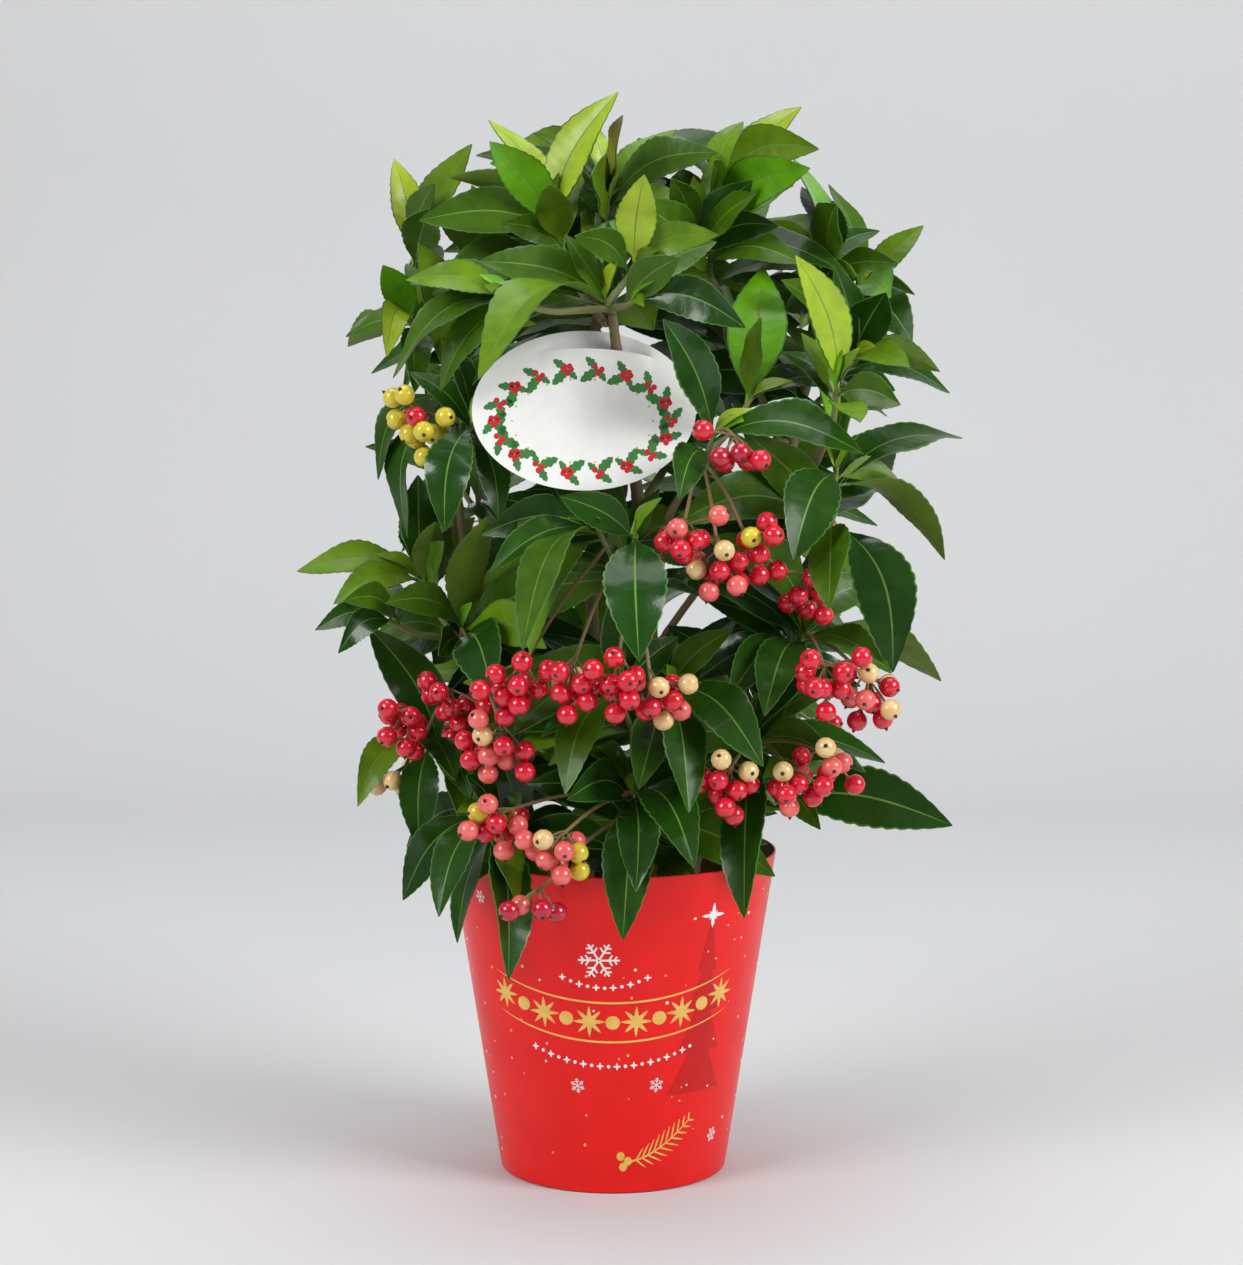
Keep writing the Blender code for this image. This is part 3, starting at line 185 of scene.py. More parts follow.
# A shoot's hub is the place that its leaves gather at. Its origin is how far along the mass's
# main twig it leaves. Each leaf row is its reach from the hub to the right, back and up, the
# width that it shows from the front and its arch. A negative width shows the leaf's underside.
MASSES = (
    Mass("crown_left", "bough_crown_left", None, (
        Shoot("crown_left", 0.0, (-81, 0, 377), 3, (
            (-8, 6, 39, 13, .05), (25, -8, 43, 14, .08), (9, -34, 17, 16, .12), (10, 22, 4, 12, .10))),
        Shoot("crown_left_low", 0.3, (-82, -14, 350), 2, (
            (-9, -16, 22, 13, .10), (-7, -26, -14, 12, .36), (-27, 16, -6, 9, .15),
            (-29, 32, -10, -9, .12), (8, 4, 17, -6, .12), (4, -28, -28, 11, .12))),
    )),
    Mass("crown_inner", "bough_crown_inner", None, (
        Shoot("crown_inner", 0.0, (-23, -42, 390), 1, (
            (-26, 16, 39, 10, .10), (-24, -20, 28, 17, .06), (25, 14, 48, 16, .14), (-41, 6, 16, -9, .16),
            (-41, 34, 20, 12, .14), (-1, -36, 11, 14, .10), (-20, -34, -3, 11, .14), (10, 22, 19, 9, .12))),
        Shoot("crown_inner_back", 0.3, (-41, 4, 374), 2, (
            (-33, 0, 17, 12, .16), (-27, -32, 14, -17, .06), (-29, 8, 5, 11, .16), (3, 14, 26, 14, .10),
            (-22, 26, 4, 10, .16))),
    )),
    Mass("fork", "stem_middle", None, (
        Shoot("fork", 0.0, (-3, -66, 358), 0, (
            (-48, -12, 14, 16, .12), (-15, -10, 24, 9, .05), (-46, -38, -30, 11, .26),
            (-51, -18, -33, 9, .24),
            (1, 8, 30, 8, .05), (-8, 18, 28, 14, .08))),
        Shoot("fork_left", 0.35, (-40, -86, 357), 0, (
            (-38, 6, 8, 12, .16), (6, -14, 9, 8, .08), (-38, 26, 7, 11, .14), (-44, 14, -29, 11, .22),
            (-26, 12, -34, 13, .18))),
        Shoot("fork_right", 0.35, (8, -76, 357), 0, (
            (42, -16, -10, 16, .16), (32, 16, 23, 14, .12), (17, -20, 16, 14, .10))),
        Shoot("crown_front", 0.7, (9, -73, 372), 0, (
            (3, -14, 32, 16, .04), (31, -8, 10, 13, .14), (-23, -20, 9, 12, .14))),
    )),
    Mass("crown_top", "stem_back", None, (
        Shoot("crown_top", 0.0, (-2, -8, 401), 3, (
            (-8, 4, 30, 10, .08), (6, -10, 29, 5, .04), (28, 18, 27, 11, .12), (15, 36, 24, 9, .12),
            (43, -18, 15, 16, .16), (-18, 32, 13, 12, .12), (-6, -34, 4, 9, .10))),
    )),
    Mass("crown_right", "bough_crown_right", None, (
        Shoot("crown_right", 0.0, (32, -22, 385), 1, (
            (-9, -22, 20, 12, .10), (0, -4, 22, 9, .06), (10, 8, 34, 6, .05), (23, -4, 20, 16, .10),
            (33, -14, 2, 14, .14), (62, -4, -17, 12, .18), (42, -30, -13, 12, .18))),
        Shoot("crown_right_tip", 0.35, (44, 2, 407), 2, (
            (32, -6, 29, 12, .04), (9, 18, 24, 12, .22), (33, 10, 13, 9, .12), (21, -26, -6, -14, .16),
            (6, 32, 18, 12, .12))),
    )),
    Mass("crown_outer", "bough_crown_outer", None, (
        Shoot("crown_outer", 0.0, (87, -4, 375), 2, (
            (1, -12, 23, 15, .10), (22, 12, 12, 9, .14), (9, 18, 10, 11, .12), (10, -22, -7, 10, .10))),
        Shoot("crown_outer_low", 0.1, (104, 24, 363), 2, (
            (25, 4, 27, 11, .06), (13, -6, 11, 6, .10), (19, -22, -2, -8, .22), (-28, -24, -16, -12, .20))),
    )),
    Mass("right_front", "bough_right_front", None, (
        Shoot("right_front", 0.0, (86, -72, 324), 0, (
            (-17, -12, 50, 16, .09), (23, -14, -6, 14, .14), (-13, 12, 21, 9, .10), (6, -36, -12, 8, .08),
            (-20, 24, 14, 10, .20))),
    )),
    Mass("right_upper", "stem_right", 316, (
        Shoot("right_upper", 0.0, (97, -20, 336), 2, (
            (10, -24, 25, 18, .10), (35, 8, -6, -11, .18), (18, -26, -4, 8, .14), (41, 12, -15, 11, .14),
            (41, 34, -8, 10, .14))),
    )),
    Mass("front_right", "bough_front_right", None, (
        Shoot("front_right", 0.0, (39, -72, 306), 0, (
            (-20, -28, 44, 16, .08), (55, -26, -6, 14, .16), (-26, 6, -9, 12, .14),
            (-14, -30, -23, 14, .18))),
        Shoot("front_right_bud", 0.4, (54, -54, 320), 1, (
            (3, -12, 31, 7, .04), (-8, 0, 43, 7, .06))),
    )),
    Mass("left_upper", "bough_left_upper", None, (
        Shoot("left_upper", 0.0, (-66, -28, 322), 2, (
            (-28, 2, -35, 10, .24), (-16, -16, -58, 10, .20), (-9, -32, -36, 8, .16), (-18, 38, 8, 11, .16))),
        Shoot("left_upper_front", 0.1, (-54, -58, 310), 0, (
            (-10, -24, -40, 18, .18), (-27, 40, -20, 12, .20), (10, -8, -37, 12, .16))),
    )),
    Mass("left_side", "bough_left_side", None, (
        Shoot("left_side", 0.0, (-79, -20, 248), 2, (
            (-48, -4, 2, 12, .14), (-31, -28, -9, 11, .16), (9, -22, 23, -11, .08), (22, 18, 22, -11, .08),
            (13, -10, 16, 7, .06), (-7, 26, 20, 11, .10))),
        Shoot("left_side_low", 0.2, (-89, -46, 232), 0, (
            (-29, 4, -4, 10, .20), (-18, -16, -11, 11, .24), (-15, -24, 10, 9, .18))),
        Shoot("left_centre", 0.1, (-60, -36, 228), 0, (
            (-28, -30, 13, 11, .16), (11, -22, 46, -15, .08), (34, -50, 32, 18, .14), (14, -44, -22, 22, .18),
            (-9, -28, -10, 12, .20))),
    )),
    Mass("centre", "stem_middle", 248, (
        Shoot("centre", 0.0, (-6, -70, 270), 0, (
            (-40, -22, -15, 10, .14), (-27, -42, -42, 11, .26), (-25, -24, -46, 13, .20),
            (-18, -30, -25, 16, .14),
            (-10, -20, 13, 10, .10))),
        Shoot("centre_front", 0.4, (9, -82, 268), 0, (
            (1, -36, -44, 24, .16), (-29, 10, 15, 14, .12), (21, 24, -13, 14, .16))),
    )),
    Mass("low_centre", "stem_middle", 186, (
        Shoot("low_centre", 0.0, (2, -62, 206), 0, (
            (-40, -32, -13, 11, .18), (-20, -30, -36, 15, .20), (24, 14, 20, 14, .10))),
        Shoot("low_centre_right", 0.3, (24, -58, 206), 1, (
            (33, -42, -24, 18, .18), (5, -40, -42, 16, .16), (-14, -34, -34, 16, .12))),
    )),
    Mass("low_front", "stem_middle", 142, (
        Shoot("low_front", 0.0, (8, -54, 165), 2, (
            (23, -50, -21, 16, .20), (1, -36, -33, 17, .20), (-4, -38, -53, 20, .22),
            (-25, -38, 3, 14, .18))),
    )),
    Mass("right_mid", "bough_right_mid", None, (
        Shoot("right_mid", 0.0, (88, -46, 291), 1, (
            (-19, -38, -32, 23, .18), (27, 10, -6, -10, .20), (45, 18, -36, -10, .18), (54, 32, 12, 12, .16),
            (-24, 46, 11, 12, .12))),
        Shoot("right_mid_low", 0.2, (87, -51, 271), 0, (
            (22, -16, -57, 24, .20), (-5, -30, -30, 14, .14))),
    )),
    Mass("right_low", "bough_right_low", None, (
        Shoot("right_low", 0.0, (76, -46, 227), 2, (
            (57, 26, -22, -12, .14), (32, -18, -13, 10, .16), (-18, -44, -27, 16, .18),
            (-31, -32, -22, 14, .16),
            (-40, -4, 14, 12, .10))),
    )),
    Mass("right_base", "bough_right_base", None, (
        Shoot("right_base", 0.0, (57, -42, 183), 1, (
            (29, -32, -3, 17, .14), (45, 12, -14, 11, .14), (52, 32, -9, 9, .16), (-6, -40, -63, 16, .18))),
        Shoot("right_base_low", 0.45, (66, -22, 155), 1, (
            (70, -30, -6, 23, .10), (-19, -22, -12, 9, .16))),
    )),
    Mass("low_left", "stem_left", 126, (
        Shoot("low_left", 0.0, (-51, -50, 156), 1, (
            (-32, -6, -34, 16, .16), (-33, 30, -19, 15, .16), (-16, -34, -35, 13, .18),
            (11, -42, -58, 14, .20),
            (14, -46, -28, 7, .14), (-10, -16, -49, 8, .16))),
    )),
    Mass("low_left_side", "stem_left", 156, (
        Shoot("low_left_side", 0.0, (-77, -20, 180), 2, (
            (-25, -20, -23, 13, .26), (0, -26, -40, 16, .20), (21, -38, -17, 14, .20))),
    )),
) + tuple(Mass(name, limb, start, (Shoot(name, 0.0, hub, fill, ()),)) for name, limb, start, hub, fill in (
    ("back_top", "stem_back", 348, (8, 46, 388), 9),
    ("back_upper_left", "bough_back_left", None, (-50, 60, 358), 9),
    ("back_upper_right", "bough_back_right", None, (60, 64, 350), 9),
    ("back_mid_left", "bough_back_mid_left", None, (-68, 52, 286), 9),
    ("back_mid_centre", "stem_back", 258, (0, 84, 296), 9),
    ("back_mid_right", "bough_back_mid_right", None, (68, 58, 280), 9),
    ("back_low_left", "stem_back", 158, (-52, 44, 206), 9),
    ("back_low_centre", "stem_back", 172, (6, 76, 214), 9),
    ("back_low_right", "stem_right", 162, (66, 42, 204), 9),
    ("back_foot_left", "stem_back", 124, (-26, 50, 156), 8),
    ("back_foot_right", "stem_right", 122, (42, 46, 152), 8),
))

# Berries hang in loose round clusters: the shoot that bears them, the cluster's middle,
# how wide it spreads in degrees, and how many it holds.
CLUSTERS = (
    Cluster("centre", (-37, -98, 211), 75, 6),
    Cluster("centre", (-16, -104, 213), 75, 7),
    Cluster("centre_front", (2, -106, 214), 75, 6),
    Cluster("centre_front", (15, -102, 207), 75, 7),
    Cluster("front_right", (27, -92, 266), 75, 5),
    Cluster("front_right", (41, -90, 257), 75, 6),
    Cluster("front_right", (52, -86, 263), 75, 5),
    Cluster("front_right", (48, -86, 300), 50, 3),
    Cluster("right_mid_low", (77, -68, 246), 75, 4),
    Cluster("right_low", (83, -86, 212), 75, 6),
    Cluster("right_low", (101, -76, 206), 75, 5),
    Cluster("right_base", (46, -84, 172), 75, 6),
    Cluster("right_base", (69, -80, 173), 75, 4),
    Cluster("right_base", (84, -74, 178), 75, 4),
    Cluster("low_left_side", (-82, -52, 192), 75, 5),
    Cluster("low_left_side", (-66, -50, 199), 75, 4),
    Cluster("low_left_side", (-86, -30, 166), 50, 2),
    Cluster("left_centre", (-43, -90, 187), 75, 7),
    Cluster("low_front", (-45, -84, 156), 75, 6),
    Cluster("low_front", (-22, -92, 147), 75, 6),
    Cluster("low_front", (-29, -94, 128), 50, 2),
    Cluster("left_upper", (-76, -50, 308), 75, 7),
    Cluster("back_mid_left", (-60, 92, 258), 75, 4),
    Cluster("back_mid_right", (52, 94, 252), 75, 4),
    Cluster("back_low_centre", (-8, 104, 184), 75, 4),
    Cluster("back_low_right", (88, 34, 176), 75, 3),
    Cluster("back_low_left", (-72, 48, 176), 75, 3),
)

# Tone of each shaping leaf, in the order of its shoot's rows: Y young yellow-green, F fresh
# and bright, L light, M middle, D dark, G dark and very glossy, O olive, B bronze
LEAF_TONES = {
    "crown_left": "YLMM", "crown_left_low": "FYMOOM", "crown_inner": "YFYODLML",
    "crown_inner_back": "DOMDM", "fork": "MMLMDM", "fork_left": "LLMMM", "fork_right": "GMM",
    "crown_front": "YLM", "crown_top": "YBLMMDL", "crown_right": "MLLDDDM", "crown_right_tip": "YLLOD",
    "crown_outer": "DDLL", "crown_outer_low": "LYOO", "right_front": "YMLLD", "right_upper": "GOLDD",
    "front_right": "GDDD", "front_right_bud": "LM", "left_upper": "DDMM", "left_upper_front": "GDD",
    "left_side": "LLOOMD", "left_side_low": "DGM", "left_centre": "MOLGD", "centre": "DMLMD",
    "centre_front": "GDD", "low_centre": "MMD", "low_centre_right": "DDD", "low_front": "GGDG",
    "right_mid": "DOODD", "right_mid_low": "GM", "right_low": "OMDDD", "right_base": "MDDD",
    "right_base_low": "GY", "low_left": "GDDDLD", "low_left_side": "LDD",
}
FILL_TONES = "MMMDDDLG"
BUD_TONES = "YFLL"
SPRAY_TONES = "DDDMMMLG"
# Lighter greens for the finer leaves high in the crown: partly the paler new growth there, and partly painted
# light where the top of the crown catches the most light.
SPRAY_TOP_TONES = "MMMLLLLF"
YOUNG_AND_LIT_HEIGHT = 345.0

# The finer leaves that only this dressed plant has: how many places are tried, their lengths,
# how far a leaf may droop, the share of their width that shows, their arch, how far back they
# are tried as a share of the front, and the outline that they keep to from the front
SPRAY_GOES = 4600
SPRAY_ROWS = 26
SPRAY_LENGTH = (32.0, 66.0)
SPRAY_DROP = 18.0
SPRAY_SHOW = (0.45, 1.1)
SPRAY_ARCH = (0.06, 0.2)
SPRAY_BACK = 0.8
BEARING_HEIGHT = 132.0
OUTLINE_HEIGHTS = (96, 130, 180, 240, 285, 340, 400, 425)
OUTLINE_LEFT = (-50, -76, -92, -106, -84, -102, -90, -50)
OUTLINE_RIGHT = (60, 72, 100, 118, 116, 124, 112, 70)
OUTLINE_FRONT = (-60, -66, -76, -76, -66, -56, -60, -60)

# The young leaves at a shoot's tip, and the berries that only this dressed plant has
BUD_ROWS = 10
BUD_COUNT = 2
BUD_LENGTH = (11.0, 19.0)
BUD_LEAN = (18.0, 46.0)
BUD_SHOW = 4.2
BUD_ARCH = 0.16
EXTRA_BERRIES = 5
EXTRA_TRIES = 60
EXTRA_LEAN = 105.0
EXTRA_REACH = (8.5, 17.0)
EXTRA_JOINT = 5.0
EXTRA_KNOT = 1.5
EXTRA_RAY = 0.4
EXTRA_ROOM = 0.3

# The mass whose leaves a limb bears: its own mass on a bough, and one low on each stem
LIMB_MASSES = {mass.limb: mass.name for mass in MASSES if mass.limb.startswith("bough")} | {
    "stem_left": "low_left_side", "stem_middle": "low_centre", "stem_right": "right_base",
    "stem_back": "back_low_centre",
}

# Tone of each berry, in the order of the clusters: r red, k crimson, p pink, c cream, y yellow
BERRY_TONES = (
    "rrrrrr", "rrrrrrc", "rrrrrp", "rrrppcc", "rrrrp", "rrrpcc", "rrryc", "rkr", "rrrr", "rrrrrr",
    "rrrpc", "rrrrrc", "rrpc", "rppc", "rrrrr", "rrrr", "cc", "pprrrcc", "rrrrpy", "ppppyc", "kp",
    "yyyyyrr", "rrrk", "rrrp", "rrrr", "rrk", "rrp",
)


class Tone(Enum):
    """The greens that a leaf may have."""

    YOUNG = "Y"
    FRESH = "F"
    LIGHT = "L"
    MIDDLE = "M"
    DARK = "D"
    GLOSSY = "G"
    OLIVE = "O"
    BRONZE = "B"


class Ripeness(Enum):
    """How ripe a berry is."""

    RED = "r"
    CRIMSON = "k"
    PINK = "p"
    CREAM = "c"
    YELLOW = "y"


def add_node(tree: bpy.types.NodeTree, kind: str, inputs: dict, operation: str = "") -> bpy.types.Node:
    """Add a shader node and fill its inputs.

    Args:
        tree: The material's node tree.
        kind: The node's type.
        inputs: A number for each input's name or place, or the output that feeds it.
        operation: What a math node works out.

    Returns:
        The node.
    """
    node = tree.nodes.new(kind)
    if operation:
        node.operation = operation
    for name, value in inputs.items():
        if isinstance(value, bpy.types.NodeSocket):
            tree.links.new(value, node.inputs[name])
        else:
            node.inputs[name].default_value = value
    return node


@dataclass(frozen=True)
class Finish:
    """One surface finish: two close colours that mottle, gloss, coat and two depths of relief.

    grain is how many mottles lie in a metre, relief the height in metres of the fine bump
    and bump_scale how many bumps lie in a metre. veins turns on the leaf-vein relief.
    """

    name: str
    colour: tuple[float, float, float]
    second: tuple[float, float, float]
    roughness: float
    grain: float = 120.0
    coat: float = 0.0
    relief: float = 0.0002
    bump_scale: float = 900.0
    veins: bool = False
    glow: float = 0.0
    specular: float = 0.5

    COAT_ROUGHNESS = 0.12
    GLOW_DEPTH = 0.002
    MOTTLE_DETAIL = 4.0
    MOTTLE_STOPS = (0.35, 0.68)
    ROUGHNESS_PLAY = (-0.06, 0.08)
    BUMP_STRENGTH = 0.5
    VEIN_COUNT = 70.0
    VEIN_SLANT = -7.0
    VEIN_STRENGTH = 0.22
    VEIN_HEIGHT = 0.00012

    def make(self) -> bpy.types.Material:
        """Make the node material, on first use.

        Returns:
            The Blender material of this finish.
        """
        if self.name in bpy.data.materials:
            return bpy.data.materials[self.name]
        made = bpy.data.materials.new(self.name)
        made.use_nodes = True
        tree = made.node_tree
        shader = tree.nodes["Principled BSDF"]
        fixed = {"Coat Weight": self.coat, "Coat Roughness": self.COAT_ROUGHNESS,
                 "Specular IOR Level": self.specular, "Subsurface Weight": self.glow,
                 "Subsurface Scale": self.GLOW_DEPTH}
        for name, value in fixed.items():
            shader.inputs[name].default_value = value
        place = tree.nodes.new("ShaderNodeTexCoord").outputs["Object"]
        mottle = add_node(tree, "ShaderNodeTexNoise", {"Vector": place, "Scale": self.grain,
                                                       "Detail": self.MOTTLE_DETAIL}).outputs["Fac"]
        ramp = add_node(tree, "ShaderNodeValToRGB", {"Fac": mottle})
        colours = (self.colour, self.second)
        for stop, spot, colour in zip(ramp.color_ramp.elements, self.MOTTLE_STOPS, colours):
            stop.position = spot
            stop.color = (*colour, 1.0)
        least, most = self.ROUGHNESS_PLAY
        spread = add_node(tree, "ShaderNodeMapRange", {"Value": mottle, "To Min": self.roughness + least,
                                                       "To Max": self.roughness + most})
        fine = add_node(tree, "ShaderNodeTexNoise", {"Vector": place, "Scale": self.bump_scale})
        last = add_node(tree, "ShaderNodeBump", {"Height": fine.outputs["Fac"], "Distance": self.relief,
                                                 "Strength": self.BUMP_STRENGTH})
        if self.veins:
            last = self.add_veins(tree, last)
        tree.links.new(ramp.outputs["Color"], shader.inputs["Base Color"])
        tree.links.new(spread.outputs["Result"], shader.inputs["Roughness"])
        tree.links.new(last.outputs["Normal"], shader.inputs["Normal"])
        return made

    def add_veins(self, tree: bpy.types.NodeTree, below: bpy.types.Node) -> bpy.types.Node:
        """Add the relief of slanting side veins, read from the leaf's own UV map.

        The height is the sine of (vein count times the place along the leaf, less a slant
        times the distance from the midrib).

        Args:
            tree: The material's node tree.
            below: The bump node that this relief lies over.

        Returns:
            The bump node that carries the veins.
        """
        chart = tree.nodes.new("ShaderNodeUVMap")
        chart.uv_map = UV_NAME
        split = add_node(tree, "ShaderNodeSeparateXYZ", {"Vector": chart.outputs["UV"]})
        away = add_node(tree, "ShaderNodeMath", {0: split.outputs["Y"]}, "ABSOLUTE")
        along = add_node(tree, "ShaderNodeMath", {0: split.outputs["X"], 1: self.VEIN_COUNT}, "MULTIPLY")
        slant = add_node(tree, "ShaderNodeMath", {0: away.outputs["Value"], 1: self.VEIN_SLANT,
                                                  2: along.outputs["Value"]}, "MULTIPLY_ADD")
        wave = add_node(tree, "ShaderNodeMath", {0: slant.outputs["Value"]}, "SINE")
        return add_node(tree, "ShaderNodeBump", {
            "Height": wave.outputs["Value"], "Normal": below.outputs["Normal"],
            "Strength": self.VEIN_STRENGTH, "Distance": self.VEIN_HEIGHT})


def leaf_finish(name: str, colour: tuple, second: tuple, roughness: float, coat: float, specular: float,
                glow: float = 0.0) -> Finish:
    """Return the finish of one green of leaves, with veins."""
    return Finish(f"leaf_{name}", colour, second, roughness, coat=coat, veins=True, glow=glow,
                  specular=specular)


LEAF_FINISHES = {
    Tone.YOUNG: leaf_finish("young", (0.36, 0.49, 0.020), (0.27, 0.41, 0.016), 0.38, 0.15, 0.35, 0.1),
    Tone.FRESH: leaf_finish("fresh", (0.13, 0.36, 0.006), (0.08, 0.28, 0.005), 0.30, 0.3, 0.35),
    Tone.LIGHT: leaf_finish("light", (0.135, 0.25, 0.006), (0.09, 0.185, 0.005), 0.36, 0.10, 0.2),
    Tone.MIDDLE: leaf_finish("middle", (0.058, 0.135, 0.004), (0.036, 0.098, 0.003), 0.36, 0.12, 0.18),
    Tone.DARK: leaf_finish("dark", (0.020, 0.076, 0.004), (0.012, 0.052, 0.003), 0.34, 0.15, 0.15),
    Tone.GLOSSY: leaf_finish("glossy", (0.014, 0.062, 0.004), (0.009, 0.044, 0.003), 0.24, 0.4, 0.2),
    Tone.OLIVE: leaf_finish("olive", (0.15, 0.25, 0.015), (0.10, 0.18, 0.012), 0.45, 0.1, 0.3),
    Tone.BRONZE: leaf_finish("bronze", (0.20, 0.14, 0.02), (0.13, 0.10, 0.015), 0.36, 0.3, 0.5),
}
UNDERSIDE = leaf_finish("underside", (0.14, 0.24, 0.022), (0.10, 0.18, 0.016), 0.5, 0.05, 0.3)
MIDRIB = Finish("leaf_midrib", (0.13, 0.25, 0.03), (0.10, 0.20, 0.02), 0.45)
MARGIN = Finish("leaf_margin", (0.06, 0.18, 0.015), (0.04, 0.13, 0.01), 0.38, coat=0.15)


def berry_finish(name: str, colour: tuple, second: tuple, roughness: float, coat: float) -> Finish:
    """Return the finish of one ripeness of berries, smooth and glossy."""
    return Finish(f"berry_{name}", colour, second, roughness, 300.0, coat, 0.00003)


BERRY_FINISHES = {
    Ripeness.RED: berry_finish("red", (0.72, 0.006, 0.030), (0.60, 0.003, 0.022), 0.20, 0.6),
    Ripeness.CRIMSON: berry_finish("crimson", (0.50, 0.004, 0.028), (0.40, 0.002, 0.020), 0.2, 0.6),
    Ripeness.PINK: berry_finish("pink", (0.82, 0.16, 0.13), (0.74, 0.08, 0.085), 0.22, 0.6),
    Ripeness.CREAM: berry_finish("cream", (0.78, 0.60, 0.28), (0.72, 0.42, 0.16), 0.26, 0.5),
    Ripeness.YELLOW: berry_finish("yellow", (0.72, 0.62, 0.035), (0.60, 0.44, 0.025), 0.26, 0.5),
}
BERRY_TIP = Finish("berry_tip", (0.05, 0.02, 0.012), (0.03, 0.012, 0.01), 0.7)
STALK = Finish("fruit_stalk", (0.24, 0.12, 0.05), (0.16, 0.16, 0.05), 0.5, 200.0)
GREEN_TWIG = Finish("green_twig", (0.16, 0.22, 0.06), (0.20, 0.16, 0.07), 0.5, 160.0, relief=0.0003)
BARK = Finish("bark", (0.20, 0.15, 0.075), (0.12, 0.105, 0.045), 0.68, 220.0, relief=0.0006,
              bump_scale=1400.0)
CARD_RED = Finish("printed_card", (0.80, 0.004, 0.002), (0.72, 0.003, 0.001), 0.36, 60.0, 0.12, 0.00005,
                  specular=0.3)
CARD_KRAFT = Finish("plain_card", (0.30, 0.19, 0.11), (0.24, 0.15, 0.085), 0.85, 900.0, relief=0.0002)
PRINT_WHITE = Finish("print_white", (0.86, 0.86, 0.84), (0.80, 0.80, 0.79), 0.35, 200.0, relief=0.00003)
PRINT_GOLD = Finish("print_gold", (0.82, 0.52, 0.12), (0.72, 0.42, 0.08), 0.32, 200.0, relief=0.00003)
PRINT_SHADE = Finish("print_shade", (0.58, 0.003, 0.002), (0.52, 0.002, 0.001), 0.36, 60.0, 0.12, 0.00003,
                     specular=0.3)
PRINT_RED = Finish("print_red", (0.62, 0.02, 0.03), (0.52, 0.015, 0.025), 0.36, 200.0, relief=0.00003)
PRINT_GREEN = Finish("print_green", (0.05, 0.22, 0.05), (0.035, 0.17, 0.04), 0.38, 200.0, relief=0.00003)
TAG_CARD = Finish("tag_card", (0.87, 0.87, 0.85), (0.83, 0.83, 0.82), 0.32, 150.0, 0.2, 0.00004)
TAG_EDGE = Finish("tag_edge", (0.42, 0.43, 0.42), (0.36, 0.37, 0.36), 0.5, 300.0)
PEAT = Finish("peat", (0.050, 0.028, 0.016), (0.022, 0.013, 0.008), 0.95, 500.0, relief=0.0015,
              bump_scale=700.0)
PEAT_CRUMB = Finish("peat_crumb", (0.12, 0.075, 0.045), (0.06, 0.035, 0.02), 0.95, 600.0, relief=0.0008)
FLOOR = Finish("floor", (0.60, 0.605, 0.617), (0.59, 0.595, 0.607), 0.8, 3.0, relief=0.00001)


def unit(vector: np.ndarray) -> np.ndarray:
    """Return the vector at length one."""
    vector = np.asarray(vector, float)
    return vector / np.linalg.norm(vector)


def smooth_path(points: Sequence, steps: int) -> np.ndarray:
    """Carry a smooth curve through points.

    Each span is the Catmull-Rom cubic of its two points and their neighbours.

    Args:
        points: The points to pass through.
        steps: How many steps each span is cut into.

    Returns:
        The curve's points as rows.
    """
    points = np.asarray(points, float)
    padded = np.vstack([2 * points[0] - points[1], points, 2 * points[-1] - points[-2]])
    t = (np.arange(steps) / steps)[:, None]
    spans = []
    for index in range(len(points) - 1):
        before, first, second, after = padded[index:index + 4]
        spans.append(0.5 * (2 * first + (second - before) * t
                            + (2 * before - 5 * first + 4 * second - after) * t ** 2
                            + (3 * first - before - 3 * second + after) * t ** 3))
    spans.append(points[-1:])
    return np.vstack(spans)


def path_frames(path: np.ndarray) -> tuple[np.ndarray, np.ndarray]:
    """Carry a pair of cross directions along a path without twist.

    Args:
        path: The path's points as rows.

    Returns:
        The directions across and beside the path at each point.
    """
    tangents = np.gradient(path, axis=0)
    tangents[0] = path[1] - path[0]
    tangents[-1] = path[-1] - path[-2]
    guide = (0.31, 0.17, 0.93) if abs(unit(tangents[0])[2]) < 0.9 else (1, 0.2, 0)
    across = unit(np.cross(tangents[0], guide))
    first, second = [], []
    for tangent in tangents:
        tangent = unit(tangent)
        across = unit(across - tangent * np.dot(across, tangent))
        first.append(across)
        second.append(np.cross(tangent, across))
    return np.array(first), np.array(second)


def ring_walls(rings: int, sides: int) -> np.ndarray:
    """Return the quads that join each ring of points to the next."""
    start = np.arange(rings - 1)[:, None] * sides
    here = start + np.arange(sides)[None]
    after = start + (np.arange(sides)[None] + 1) % sides
    return np.stack([here, after, after + sides, here + sides], axis=-1).reshape(-1, 4)


def ring_tube(path: np.ndarray, radii: Sequence, sides: int) -> tuple[np.ndarray, list]:
    """Make a closed tube: each point is the path plus its radius times a turning direction.

    Args:
        path: The centre line, one row a ring.
        radii: A radius for each ring, or a table of one radius for each ring and side.
        sides: How many sides the tube has.

    Returns:
        The points and the faces.
    """
    across, beside = path_frames(path)
    turns = np.arange(sides) * math.tau / sides
    radii = np.asarray(radii, float)
    if radii.ndim == 1:
        radii = np.repeat(radii[:, None], sides, axis=1)
    cosines, sines = np.cos(turns)[None, :, None], np.sin(turns)[None, :, None]
    spokes = across[:, None] * cosines + beside[:, None] * sines
    points = (path[:, None] + radii[..., None] * spokes).reshape(-1, 3)
    last = (len(path) - 1) * sides
    ends = [list(range(sides))[::-1], list(range(last, last + sides))]
    return points, ends + ring_walls(len(path), sides).tolist()


